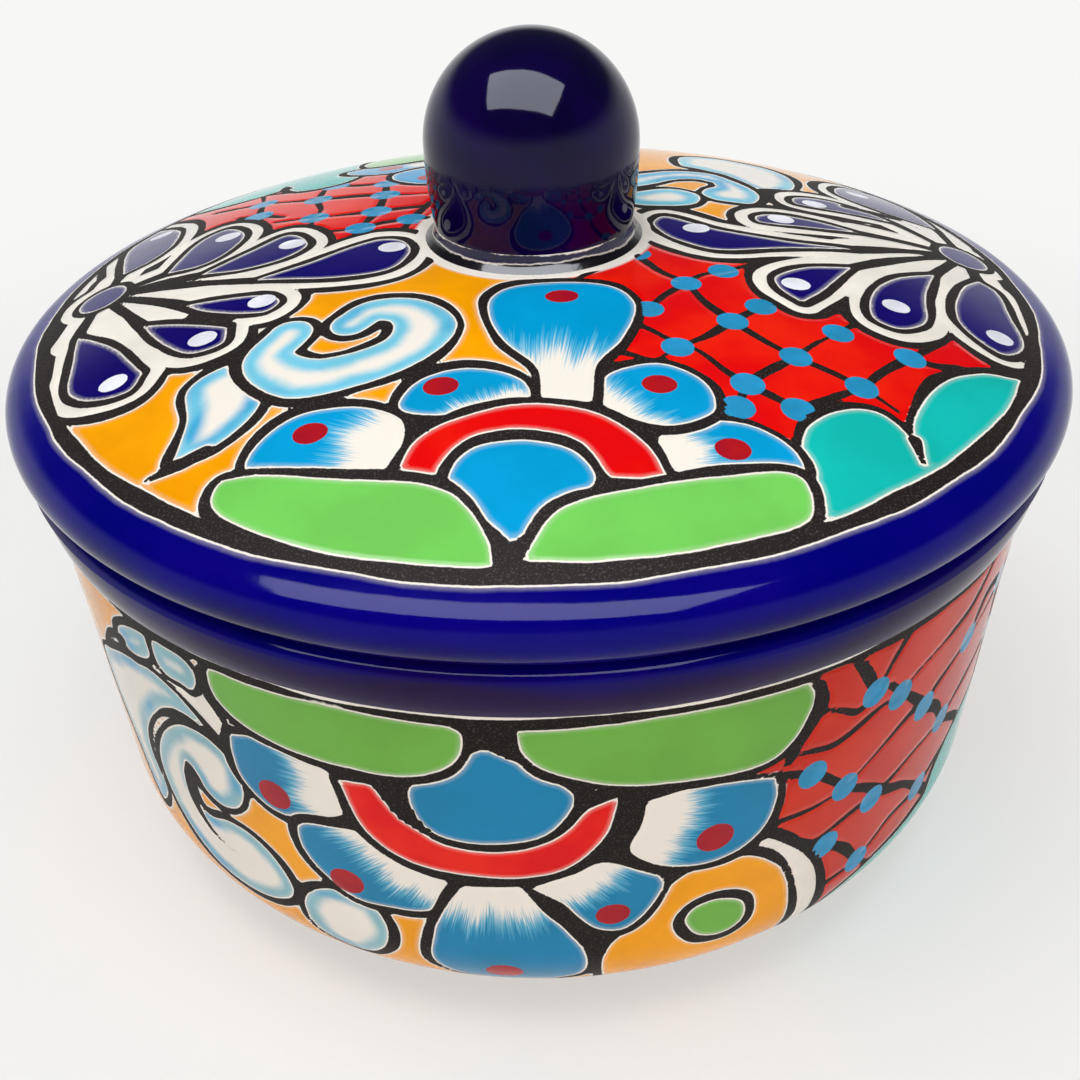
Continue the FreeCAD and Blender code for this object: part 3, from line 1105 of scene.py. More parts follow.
LID_SEAM: Mark = (((0.3, -20.0), (-0.4, -60.0), (0.2, -108.0)), (2.4, 2.0, 2.6))
LID_SPUR: Mark = (((69.3, -76.0), (69.6, -81.5)), (3.2, 1.0))
BACK_SPUR: Mark = (((65.5, -55.0), (66.3, -60.5)), (3.2, 1.0))
BACK_STEM: Mark = (((-6.1, -104.0), (-5.9, -116.0), (-5.4, -134.0)), (3.0, 4.4, 5.0))
SIDE_SEAM: Mark = (((178.6, 50.0), (179.6, 66.0), (178.2, 80.0), (179.4, 96.0)), (2.8, 2.4, 3.0, 2.6))

# Gaps between lines that the mesh is too coarse to show, closed with slip.
LID_FILLERS: tuple[Mark, ...] = (
    (((-73.5, -27.9), (-69.0, -30.4), (-64.5, -32.9)), (2.2, 2.5, 2.2)),
    (((77.5, 28.8), (84.0, 28.4), (91.0, 28.2)), (2.2, 2.6, 2.2)),
    (((58.0, 32.8), (62.5, 34.4)), (3.2, 3.2)),
    (((-28.0, -71.0), (-23.4, -74.9), (-19.0, -79.0)), (2.6, 3.4, 2.6)),
)
SIDE_FILLERS: tuple[Mark, ...] = (
    (((50.5, 5.5), (52.2, 9.5), (51.0, 13.5), (48.5, 18.5), (46.8, 23.0)), (5.6, 4.0, 3.0, 2.6)),
    (((4.0, 58.0), (9.0, 65.0), (9.5, 78.0)), (5.0, 6.4, 4.0)),
    (((10.0, 20.8), (17.6, 21.6), (26.0, 21.8)), (3.5, 3.8, 2.5)),
    (((7.5, 33.0), (10.5, 38.4), (14.5, 40.0)), (4.0, 4.4, 3.0)),
)


def strip(above: float, below: float) -> Outline:
    """Draws a strip right round the bowl's side.

    Args:
        above: its upper edge, in millimetres down from the band.
        below: its lower edge.

    Returns:
        The strip, longer than the way round.
    """
    end = 400.0
    return Outline(((-end, above), (end, above), (end, below), (-end, below)), (0, 1, 2, 3))


class Wiring:
    """A node tree with short ways to add its nodes."""

    def __init__(self, tree: bpy.types.NodeTree) -> None:
        """Takes the tree to fill."""
        self.tree = tree

    def node(self, kind: str, **settings: object) -> bpy.types.Node:
        """Adds a node.

        Args:
            kind: its type.
            settings: its own settings.

        Returns:
            The node.
        """
        node = self.tree.nodes.new(kind)
        for name, value in settings.items():
            setattr(node, name, value)
        return node

    def plug(self, source: object, socket: bpy.types.NodeSocket) -> None:
        """Links an output to a socket, or sets the socket to a plain value."""
        if isinstance(source, bpy.types.NodeSocket):
            self.tree.links.new(source, socket)
        else:
            socket.default_value = source

    def math(self, operation: str, *values: object) -> bpy.types.NodeSocket:
        """Adds a Math node.

        Args:
            operation: what it does.
            values: its inputs, linked or plain.

        Returns:
            Its output.
        """
        node = self.node("ShaderNodeMath", operation=operation)
        for value, socket in zip(values, node.inputs):
            self.plug(value, socket)
        return node.outputs[0]

    def step(
        self, value: object, low: object, high: object, start: float = 0.0, end: float = 1.0
    ) -> bpy.types.NodeSocket:
        """Adds a smooth step.

        Args:
            value: what is stepped.
            low: where the step starts.
            high: where it ends.
            start: the result below it.
            end: the result above it.

        Returns:
            The stepped value.
        """
        node = self.node("ShaderNodeMapRange", interpolation_type="SMOOTHSTEP")
        names = ("Value", "From Min", "From Max", "To Min", "To Max")
        for source, name in zip((value, low, high, start, end), names):
            self.plug(source, node.inputs[name])
        return node.outputs["Result"]

    def blend(self, share: object, first: object, second: object) -> bpy.types.NodeSocket:
        """Mixes two colours.

        Args:
            share: how much of the second shows.
            first: the first colour.
            second: the second colour.

        Returns:
            The mixed colour.
        """
        node = self.node("ShaderNodeMix", data_type="RGBA")
        self.plug(share, node.inputs[0])
        self.plug(first, node.inputs[6])
        self.plug(second, node.inputs[7])
        return node.outputs[2]

    def noise(
        self, scale: object, detail: float, vector: object = None, roughness: float = 0.5
    ) -> bpy.types.NodeSocket:
        """Adds a noise, on the piece's own place unless told another.

        Args:
            scale: how fine it is, per metre.
            detail: how many octaves it has.
            vector: where it is read.
            roughness: how strong the fine octaves are.

        Returns:
            Its value.
        """
        node = self.node("ShaderNodeTexNoise")
        place = vector or self.node("ShaderNodeTexCoord").outputs["Object"]
        self.plug(place, node.inputs["Vector"])
        for value, name in ((scale, "Scale"), (detail, "Detail"), (roughness, "Roughness")):
            self.plug(value, node.inputs[name])
        return node.outputs["Fac"]

    def rough(self, gloss: object, scale: float, amount: float) -> bpy.types.NodeSocket:
        """Makes a shine a little uneven.

        Args:
            gloss: the least roughness.
            scale: how fine the unevenness is, per metre.
            amount: how much it adds at most.

        Returns:
            The roughness.
        """
        return self.math("ADD", gloss, self.math("MULTIPLY", self.noise(scale, 3.0), amount))

    def relief(self, height: object) -> bpy.types.NodeSocket:
        """Turns a height in millimetres into a normal."""
        bump = self.node("ShaderNodeBump")
        bump.inputs["Distance"].default_value = MM
        self.plug(height, bump.inputs["Height"])
        return bump.outputs["Normal"]

    def layer(self, name: str) -> bpy.types.Node:
        """Reads a vertex attribute."""
        return self.node("ShaderNodeAttribute", attribute_name=name)

    def seen(self) -> bpy.types.NodeSocket:
        """Tells whether a ray comes from the camera, through glass or off a glossy surface."""
        path = self.node("ShaderNodeLightPath")
        straight = self.math("MAXIMUM", path.outputs["Is Camera Ray"], path.outputs["Is Transmission Ray"])
        return self.math("MAXIMUM", straight, path.outputs["Is Glossy Ray"])

    def use(self, group: bpy.types.NodeTree, **values: object) -> bpy.types.Node:
        """Places a node group.

        Args:
            group: the group.
            values: its inputs by name, with underscores for spaces.

        Returns:
            The group's node.
        """
        node = self.node("ShaderNodeGroup", node_tree=group)
        for name, value in values.items():
            self.plug(value, node.inputs[name.replace("_", " ")])
        return node


def group_of(
    name: str, inputs: dict[str, str], outputs: dict[str, str]
) -> tuple[Wiring, bpy.types.Node, bpy.types.Node]:
    """Starts a shader node group.

    Args:
        name: its name.
        inputs: socket type by name.
        outputs: socket type by name.

    Returns:
        Its wiring, its input node and its output node.
    """
    tree = bpy.data.node_groups.new(name, "ShaderNodeTree")
    for title, kind in inputs.items():
        tree.interface.new_socket(name=title, in_out="INPUT", socket_type=kind)
    for title, kind in outputs.items():
        tree.interface.new_socket(name=title, in_out="OUTPUT", socket_type=kind)
    wiring = Wiring(tree)
    return wiring, wiring.node("NodeGroupInput"), wiring.node("NodeGroupOutput")


FLOAT = "NodeSocketFloat"
COLOUR = "NodeSocketColor"


def make_hand_waves() -> bpy.types.NodeTree:
    """Builds the soft dents of a surface that was thrown, dipped and fired.

    Returns:
        A group that puts out a height in millimetres.
    """
    names = {"Broad Scale": FLOAT, "Broad Height": FLOAT, "Fine Scale": FLOAT, "Fine Height": FLOAT}
    wiring, inside, outside = group_of("hand_waves", names, {"Height": FLOAT})
    broad = wiring.noise(inside.outputs["Broad Scale"], 1.5)
    fine = wiring.noise(inside.outputs["Fine Scale"], 2.0)
    total = wiring.math(
        "ADD",
        wiring.math("MULTIPLY", broad, inside.outputs["Broad Height"]),
        wiring.math("MULTIPLY", fine, inside.outputs["Fine Height"]),
    )
    wiring.plug(total, outside.inputs["Height"])
    return wiring.tree


def make_glaze_pool() -> bpy.types.NodeTree:
    """Builds the way a glaze runs darker where it is thick and paler where it is thin.

    Returns:
        A group that puts out the varied colour.
    """
    names = {"Colour": COLOUR, "Amount": FLOAT, "Scale": FLOAT}
    wiring, inside, outside = group_of("glaze_pool", names, {"Colour": COLOUR})
    cloud = wiring.step(wiring.noise(inside.outputs["Scale"], 3.0), 0.3, 0.7, -1.0, 1.0)
    change = wiring.math("MULTIPLY", cloud, inside.outputs["Amount"])
    tint = wiring.node("ShaderNodeHueSaturation")
    wiring.plug(wiring.math("ADD", change, 1.0), tint.inputs["Value"])
    wiring.plug(wiring.math("ADD", 0.5, wiring.math("MULTIPLY", change, 0.02)), tint.inputs["Hue"])
    wiring.plug(inside.outputs["Colour"], tint.inputs["Color"])
    wiring.plug(tint.outputs["Color"], outside.inputs["Colour"])
    return wiring.tree


def make_brush_edge() -> bpy.types.NodeTree:
    """Builds the slightly ragged edge of a hand-painted shape.

    Returns:
        A group that puts out the wandered distance, in millimetres, and the mask inside the edge.
    """
    names = {"Distance": FLOAT, "Wander": FLOAT, "Ragged": FLOAT, "Softness": FLOAT}
    wiring, inside, outside = group_of("brush_edge", names, {"Distance": FLOAT, "Mask": FLOAT})
    slow = wiring.math("SUBTRACT", wiring.noise(130.0, 1.0), 0.5)
    slow = wiring.math("MULTIPLY", slow, inside.outputs["Wander"])
    quick = wiring.math("SUBTRACT", wiring.noise(900.0, 2.0), 0.5)
    quick = wiring.math("MULTIPLY", quick, inside.outputs["Ragged"])
    moved = wiring.math("ADD", inside.outputs["Distance"], wiring.math("ADD", slow, quick))
    soft = inside.outputs["Softness"]
    mask = wiring.step(moved, wiring.math("MULTIPLY", soft, -1.0), soft, 1.0, 0.0)
    wiring.plug(moved, outside.inputs["Distance"])
    wiring.plug(mask, outside.inputs["Mask"])
    return wiring.tree


@dataclass(frozen=True)
class Effects:
    """The node groups that the finishes share."""

    waves: bpy.types.NodeTree
    pool: bpy.types.NodeTree
    edge: bpy.types.NodeTree


def new_material(name: str) -> tuple[bpy.types.Material, Wiring, bpy.types.Node]:
    """Starts a node material.

    Args:
        name: its name.

    Returns:
        The material, its wiring and its shader.
    """
    material = bpy.data.materials.new(name)
    material.use_nodes = True
    wiring = Wiring(material.node_tree)
    shader = next(node for node in material.node_tree.nodes if node.type == "BSDF_PRINCIPLED")
    return material, wiring, shader


@dataclass(frozen=True)
class PaintedGlaze:
    """Glazes filled in between lines of matt black slip, over a white ground."""

    name: str
    ior: float = 1.22
    gloss: float = 0.06
    slip_roughness: float = 0.5
    clay_roughness: float = 0.85
    slip: Colour = linear(20, 13, 10)
    speckle: Colour = linear(62, 57, 54)
    grog: Colour = linear(176, 128, 90)
    white: Colour = Glaze.WHITE.colour

    def build(self, effects: Effects) -> bpy.types.Material:
        """Builds the material.

        Args:
            effects: the shared node groups.

        Returns:
            The material.
        """
        material, w, shader = new_material(self.name)
        glaze, dots = w.layer("glaze"), w.layer("dot_glaze")
        line, dot = w.layer("line").outputs["Fac"], w.layer("dot").outputs["Fac"]
        edge = w.use(effects.edge, Distance=line, Wander=0.55, Ragged=0.22, Softness=0.07)
        spot = w.use(effects.edge, Distance=dot, Wander=0.5, Ragged=0.2, Softness=0.08)
        pooled = w.use(effects.pool, Colour=glaze.outputs["Color"], Amount=0.07, Scale=55.0)
        colour = self._brushed(w, self._core(w, pooled.outputs["Colour"]))
        for low, high, strength in ((0.3, 1.5, 0.22), (0.26, 0.5, 1.0)):
            hair = w.step(edge.outputs["Distance"], low, high, strength, 0.0)
            colour = w.blend(w.math("MULTIPLY", hair, glaze.outputs["Alpha"]), colour, self.white)
        slip = w.blend(w.step(w.noise(2600.0, 1.0), 0.56, 0.72), self.slip, self.speckle)
        colour = w.blend(edge.outputs["Mask"], colour, slip)
        dot_colour = w.use(effects.pool, Colour=dots.outputs["Color"], Amount=0.12, Scale=120.0)
        colour = w.blend(spot.outputs["Mask"], colour, dot_colour.outputs["Colour"])
        clay = w.layer("clay").outputs["Fac"]
        grog = w.blend(w.noise(700.0, 4.0), Glaze.CLAY.colour, self.grog)
        w.plug(w.blend(clay, colour, grog), shader.inputs["Base Color"])
        bare = w.math("MULTIPLY", edge.outputs["Mask"], w.math("SUBTRACT", 1.0, spot.outputs["Mask"]))
        rough = w.math("ADD", w.math("MULTIPLY", bare, self.slip_roughness - self.gloss), self.gloss)
        dull = w.math("MULTIPLY", clay, self.clay_roughness)
        w.plug(w.math("MAXIMUM", w.rough(rough, 60.0, 0.05), dull), shader.inputs["Roughness"])
        shader.inputs["IOR"].default_value = self.ior
        w.plug(self._relief(w, effects, edge, bare, clay), shader.inputs["Normal"])
        return material

    def _core(self, w: Wiring, colour: bpy.types.NodeSocket) -> bpy.types.NodeSocket:
        """Leaves the middle of the scrolls white, with a darker wash in places.

        Args:
            w: the material's wiring.
            colour: the colour so far.

        Returns:
            The colour with the hearts in it.
        """
        depth = w.layer("core").outputs["Fac"]
        uneven = w.math("MULTIPLY", w.math("SUBTRACT", w.noise(150.0, 3.0), 0.5), 2.2)
        wash = w.math("MULTIPLY", w.step(w.noise(44.0, 2.0), 0.5, 0.66), w.step(depth, -0.5, 0.2))
        colour = w.blend(w.math("MULTIPLY", wash, 0.7), colour, Glaze.BLUE.colour)
        return w.blend(w.step(w.math("ADD", depth, uneven), 3.0, 6.2), colour, self.white)

    def _brushed(self, w: Wiring, colour: bpy.types.NodeSocket) -> bpy.types.NodeSocket:
        """Brushes the petals out to white towards their roots.

        Args:
            w: the material's wiring.
            colour: the colour so far.

        Returns:
            The colour with the brushed roots.
        """
        parts = w.node("ShaderNodeSeparateXYZ")
        w.plug(w.layer("stroke").outputs["Vector"], parts.inputs[0])
        along = w.node("ShaderNodeCombineXYZ")
        w.plug(parts.outputs["X"], along.inputs["X"])
        w.plug(w.math("MULTIPLY", parts.outputs["Y"], 1.1), along.inputs["Y"])
        hairs = w.math("SUBTRACT", w.noise(2.7, 2.0, along.outputs[0], 0.65), 0.5)
        slow = w.math("SUBTRACT", w.noise(0.16, 1.0, along.outputs[0]), 0.5)
        uneven = w.math("ADD", w.math("MULTIPLY", hairs, 0.42), w.math("MULTIPLY", slow, 0.3))
        tip = w.math("ADD", parts.outputs["Y"], uneven)
        petal = w.step(parts.outputs["Z"], 0.4, 0.6)
        washed = w.math("MULTIPLY", w.step(tip, 0.38, 0.5, 0.5, 0.0), petal)
        white = w.math("MULTIPLY", w.step(tip, 0.27, 0.4, 1.0, 0.0), petal)
        return w.blend(white, w.blend(washed, colour, Glaze.SKY.colour), self.white)

    def _relief(
        self,
        w: Wiring,
        effects: Effects,
        edge: bpy.types.Node,
        bare: bpy.types.NodeSocket,
        clay: bpy.types.NodeSocket,
    ) -> bpy.types.NodeSocket:
        """Sinks the slip lines a little and gives the glaze its soft waves.

        Args:
            w: the material's wiring.
            effects: the shared node groups.
            edge: the slip line's edge.
            bare: where slip shows.
            clay: where bare clay shows.

        Returns:
            The normal.
        """
        waves = w.use(effects.waves, Broad_Scale=26.0, Broad_Height=0.5, Fine_Scale=210.0, Fine_Height=0.025)
        pool = w.step(edge.outputs["Distance"], -0.3, 1.3, 0.0, 0.16)
        grain = w.math("MULTIPLY", w.noise(3000.0, 2.0), 0.05)
        dry = w.math("ADD", w.math("MULTIPLY", bare, 0.6), w.math("MULTIPLY", clay, 2.0))
        steps = w.math("ADD", pool, w.math("MULTIPLY", dry, grain))
        return w.relief(w.math("ADD", waves.outputs["Height"], steps))


@dataclass(frozen=True)
class CollarSlip:
    """Cobalt run down round the knob's foot onto black slip, with a white line at the join with the knob and
    a painted highlight along the slip's top edge.
    """

    name: str
    gloss: float = 0.10
    top: float = 0.1456
    split: float = 0.1437
    slip: Colour = linear(14, 10, 16)
    cobalt: Colour = linear(8, 2, 52)

    def build(self, effects: Effects) -> bpy.types.Material:
        """Builds the material.

        Args:
            effects: the shared node groups.

        Returns:
            The material.
        """
        material, w, shader = new_material(self.name)
        parts = w.node("ShaderNodeSeparateXYZ")
        w.plug(w.node("ShaderNodeTexCoord").outputs["Object"], parts.inputs[0])
        above = w.math("DIVIDE", w.math("SUBTRACT", self.top, parts.outputs["Z"]), MM)
        edge = w.use(effects.edge, Distance=above, Wander=1.3, Ragged=0.5, Softness=0.12)
        below = w.math("DIVIDE", w.math("SUBTRACT", parts.outputs["Z"], self.split), MM)
        run = w.use(effects.edge, Distance=below, Wander=1.5, Ragged=0.4, Softness=0.12)
        mottled = w.use(effects.pool, Colour=self.cobalt, Amount=0.35, Scale=160.0)
        # Painted highlight: a thin white line along the top of the black slip, where glints of light fall.
        hair = w.step(run.outputs["Distance"], 0.1, 0.45, 0.8, 0.0)
        colour = w.blend(hair, mottled.outputs["Colour"], Glaze.WHITE.colour)
        colour = w.blend(run.outputs["Mask"], colour, self.slip)
        w.plug(w.blend(edge.outputs["Mask"], colour, Glaze.WHITE.colour), shader.inputs["Base Color"])
        w.plug(w.rough(self.gloss, 120.0, 0.12), shader.inputs["Roughness"])
        waves = w.use(effects.waves, Broad_Scale=60.0, Broad_Height=0.9, Fine_Scale=300.0, Fine_Height=0.08)
        w.plug(w.relief(waves.outputs["Height"]), shader.inputs["Normal"])
        return material


@dataclass(frozen=True)
class CobaltGlaze:
    """A deep cobalt glaze, nearly black where it lies thick."""

    name: str
    ior: float = 1.3
    gloss: float = 0.04
    thick: Colour = linear(3, 0, 36)
    thin: Colour = linear(16, 0, 66)

    def build(self, effects: Effects) -> bpy.types.Material:
        """Builds the material.

        Args:
            effects: the shared node groups.

        Returns:
            The material.
        """
        material, w, shader = new_material(self.name)
        run = w.step(w.noise(34.0, 3.0), 0.35, 0.75)
        colour = w.use(effects.pool, Colour=w.blend(run, self.thick, self.thin), Amount=0.12, Scale=90.0)
        w.plug(colour.outputs["Colour"], shader.inputs["Base Color"])
        w.plug(w.rough(self.gloss, 80.0, 0.05), shader.inputs["Roughness"])
        waves = w.use(effects.waves, Broad_Scale=24.0, Broad_Height=0.6, Fine_Scale=170.0, Fine_Height=0.03)
        w.plug(w.relief(waves.outputs["Height"]), shader.inputs["Normal"])
        shader.inputs["IOR"].default_value = self.ior
        return material


def spin_shell(name: str, profile: Profile, steps: int, closed: bool) -> bpy.types.Object:
    """Turns a half section into a closed shell.

    Args:
        name: the piece's name.
        profile: its half section.
        steps: how many steps the turn has.
        closed: whether the section comes back to its start, and doesn't end on the axis.

    Returns:
        The shell's object, at the origin.
    """
    bm = bmesh.new()
    walked = bm.verts.layers.float.new("walked")
    zone = bm.verts.layers.int.new("zone")
    verts = []
    for ring in profile.rings:
        vert = bm.verts.new((0.0, -ring.radius * MM, ring.height * MM))
        vert[walked] = ring.walked
        vert[zone] = ring.zone.value
        verts.append(vert)
    edges = [bm.edges.new(pair) for pair in zip(verts, verts[1:])]
    if closed:
        edges.append(bm.edges.new((verts[-1], verts[0])))
    wedge = math.tau / WEDGES
    bmesh.ops.spin(
        bm, geom=verts + edges, cent=(0, 0, 0), axis=(0, 0, 1), dvec=(0, 0, 0),
        angle=wedge, steps=steps // WEDGES, use_merge=False, use_duplicate=False,
    )
    done = 1
    while done < WEDGES:
        copied = bmesh.ops.duplicate(bm, geom=bm.verts[:] + bm.edges[:] + bm.faces[:])["geom"]
        turned = [part for part in copied if isinstance(part, bmesh.types.BMVert)]
        bmesh.ops.rotate(bm, verts=turned, cent=(0, 0, 0), matrix=Matrix.Rotation(wedge * done, 3, "Z"))
        seams = [vert for vert in bm.verts if vert.is_boundary or vert.co.xy.length < TINY]
        bmesh.ops.remove_doubles(bm, verts=seams, dist=2e-6)
        done *= 2
    bmesh.ops.recalc_face_normals(bm, faces=bm.faces)
    mesh = bpy.data.meshes.new(name)
    bm.to_mesh(mesh)
    bm.free()
    mesh.shade_smooth()
    mesh.set_sharp_from_angle(angle=math.radians(35.0))
    piece = bpy.data.objects.new(name, mesh)
    bpy.context.scene.collection.objects.link(piece)
    return piece


def vertex_data(mesh: bpy.types.Mesh) -> tuple[np.ndarray, np.ndarray, np.ndarray]:
    """Reads a turned shell back.

    Args:
        mesh: the shell's mesh.

    Returns:
        Its places in millimetres, the distances walked and the zones.
    """
    count = len(mesh.vertices)
    places = np.empty(count * 3, dtype=np.float32)
    walked = np.empty(count, dtype=np.float32)
    zones = np.empty(count, dtype=np.int32)
    mesh.vertices.foreach_get("co", places)
    mesh.attributes["walked"].data.foreach_get("value", walked)
    mesh.attributes["zone"].data.foreach_get("value", zones)
    return places.reshape(count, 3).astype(float) / MM, walked.astype(float), zones


def cover_plain(canvas: Canvas, zones: np.ndarray) -> None:
    """Covers the parts of a shell that carry no pattern.

    Args:
        canvas: the canvas.
        zones: what covers each vertex.
    """
    for zone, glaze in ((Zone.COBALT, Glaze.COBALT), (Zone.LINER, Glaze.WHITE), (Zone.CLAY, Glaze.CLAY)):
        which = np.nonzero(zones == zone.value)[0]
        canvas.cover(which, glaze, 1.0 if zone is Zone.COBALT else 0.0)
        canvas.line[which] = FAR
        canvas.clay[which] = 1.0 if zone is Zone.CLAY else 0.0


def paint_cobalt_shade(canvas: Canvas, zones: np.ndarray, height: np.ndarray, span: Point, low: Glaze) -> None:
    """Paints shade into the cobalt: darker towards the bottom of a rim, where it lies in shade, with a
    wavering edge.

    Args:
        canvas: the canvas.
        zones: what covers each vertex.
        height: the height of each vertex, in millimetres.
        span: the heights between which the painted shade fades out.
        low: the shaded cobalt colour at the bottom, painted shade.
    """
    which = np.nonzero(zones == Zone.COBALT.value)[0]
    x, y = canvas.flat[which, 0], canvas.flat[which, 1]
    wander = 1.3 * np.sin(x / 17.0 + y / 23.0) + 0.9 * np.sin(x / 7.0 - y / 9.0)
    # Painted shade: blends the cobalt towards its shaded colour lower down, along a wavering edge.
    share = np.clip((height[which] + wander - span[0]) / (span[1] - span[0]), 0.0, 1.0)[:, None]
    bottom = np.array(low.colour)
    canvas.glaze[which, :3] = canvas.glaze[which, :3] * share + bottom[:3] * (1.0 - share)


@dataclass
class Bowl:
    """The round bowl: foot ring, belly, cobalt band and rim, glazed inside."""

    steps: int = 528
    band_foot_radius: float = 115.0
    painted_down_to: float = 93.0
    bare_down_from: float = 97.0
    quarter: float = 179.1
    net_from: float = 20.0
    # Heights over which painted shade darkens the band's cobalt under the lid.
    shade_span: Point = (105.0, 110.5)

    def profile(self) -> Profile:
        """Draws the half section, from the middle underneath, up outside and down inside.

        Returns:
            The half section, ending on the axis.
        """
        p = Profile()
        fine, mid, wide = 0.96, 2.2, 6.0
        p.start(0.0, 4.0, Zone.CLAY)
        p.line(73.1, 4.0, wide * 2, Zone.CLAY)
        p.line(75.6, 0.6, 2.0, Zone.CLAY)
        p.line(76.2, 0.0, 1.0, Zone.CLAY)
        p.line(82.0, 0.0, 2.0, Zone.CLAY)
        p.line(82.6, 0.6, 1.0, Zone.CLAY)
        p.line(84.6, 4.02, 2.0, Zone.CLAY)
        p.arc((83.6, 32.0), 28.0, -88.0, -2.9, fine, Zone.PATTERN)
        p.line(self.band_foot_radius, BAND_FOOT, fine, Zone.PATTERN)
        p.arc((116.2, BAND_FOOT), 1.2, 180.0, 90.0, 0.6, Zone.COBALT)
        p.arc((96.56, 107.2), 21.0, -19.8, 2.7, 1.0, Zone.COBALT)
        p.arc((115.6, 108.2), 3.0, 0.0, 90.0, 0.8, Zone.COBALT)
        p.line(109.5, 111.2, 1.5, Zone.COBALT)
        p.arc((109.5, 109.2), 2.0, 90.0, 176.0, 1.0, Zone.COBALT)
        p.line(107.35, 96.0, mid, Zone.LINER)
        p.line(104.07, 37.2, wide, Zone.LINER)
        p.arc((80.1, 36.0), 24.0, 2.9, -90.0, 3.4, Zone.LINER)
        p.line(0.0, 12.0, wide * 2, Zone.LINER)
        return p

    def build(self, glaze: bpy.types.Material) -> bpy.types.Object:
        """Builds and paints the bowl.

        Args:
            glaze: its finish.

        Returns:
            The piece.
        """
        piece = spin_shell("painted_bowl", self.profile(), self.steps, False)
        places, walked, zones = vertex_data(piece.data)
        angle = np.degrees(np.arctan2(places[:, 0], -places[:, 1]))
        outward = np.hypot(places[:, 0], places[:, 1]) - self.band_foot_radius
        down = walked[np.argmin(np.hypot(outward, places[:, 2] - BAND_FOOT))] - walked
        canvas = Canvas(np.stack([angle * SIDE_MM_PER_DEGREE, down], axis=1))
        self.paint(canvas, angle, down)
        cover_plain(canvas, zones)
        # Painted shade on the cobalt band where the lid overhangs it.
        paint_cobalt_shade(canvas, zones, places[:, 2], self.shade_span, Glaze.SHADED_BAND_COBALT)
        canvas.clay[(zones == Zone.PATTERN.value) & (down > self.bare_down_from)] = 1.0
        canvas.keep_on(piece.data)
        piece.data.materials.append(glaze)
        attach(piece, "bowl")
        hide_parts("bowl")
        return piece

    def paint(self, canvas: Canvas, angle: np.ndarray, down: np.ndarray) -> None:
        """Paints the bowl's side.

        Args:
            canvas: the canvas.
            angle: the angle of each vertex from the front, in degrees.
            down: how far each vertex lies below the band.
        """
        painted = (down > -1.0) & (down < self.painted_down_to)
        for turn in (0.0, 180.0):
            self.face(canvas, angle, down, turn)
            local = canvas.place[:, 0]
            orange = painted & (local >= -self.quarter) & (local < self.net_from)
            canvas.cover(np.nonzero(orange)[0], Glaze.ORANGE, 1.0)
            net = painted & (local >= self.net_from) & (local < self.quarter)
            SIDE_NET.paint(canvas, np.nonzero(net)[0])
            canvas.paint(SIDE_TEAL, Glaze.TEAL)
        for turn in (0.0, 180.0):
            self.face(canvas, angle, down, turn)
            canvas.draw(*SIDE_SEAM)
            SIDE_SCROLL.paint(canvas)
        for turn in (-180.0, 0.0):
            self.face(canvas, angle, down, turn, 90.0)
            SIDE_FAN.paint(canvas)
        for turn in (0.0, 180.0):
            self.face(canvas, angle, down, turn)
            canvas.draw_all(SIDE_FILLERS)
            canvas.paint(SIDE_LOBE, Glaze.WHITE, 2.6, 1.3, 0.0)
            canvas.paint(SIDE_SUN, Glaze.ORANGE, 2.4)
            canvas.paint(SUN_EYE, Glaze.BOWL_GREEN, 2.2)
            SIDE_FLOWER.paint(canvas)
        canvas.place = canvas.flat
        canvas.paint(strip(-5.0, 0.45), Glaze.WHITE, 1.7, 0.85, 0.0)
        canvas.paint(strip(self.painted_down_to, 160.0), Glaze.WHITE, 2.4, 0.0, 0.0)

    def face(
        self, canvas: Canvas, angle: np.ndarray, down: np.ndarray, turn: float, middle: float = 0.0
    ) -> None:
        """Turns the drawing so that its front lies at an angle round the bowl.

        Args:
            canvas: the canvas.
            angle: the angle of each vertex from the front, in degrees.
            down: how far each vertex lies below the band.
            turn: where the drawing's front lies, in degrees.
            middle: the angle on the drawing that its seam is opposite to.
        """
        local = (angle - turn - middle + 180.0) % 360.0 - 180.0 + middle
        canvas.place = np.stack([local * SIDE_MM_PER_DEGREE, down], axis=1)


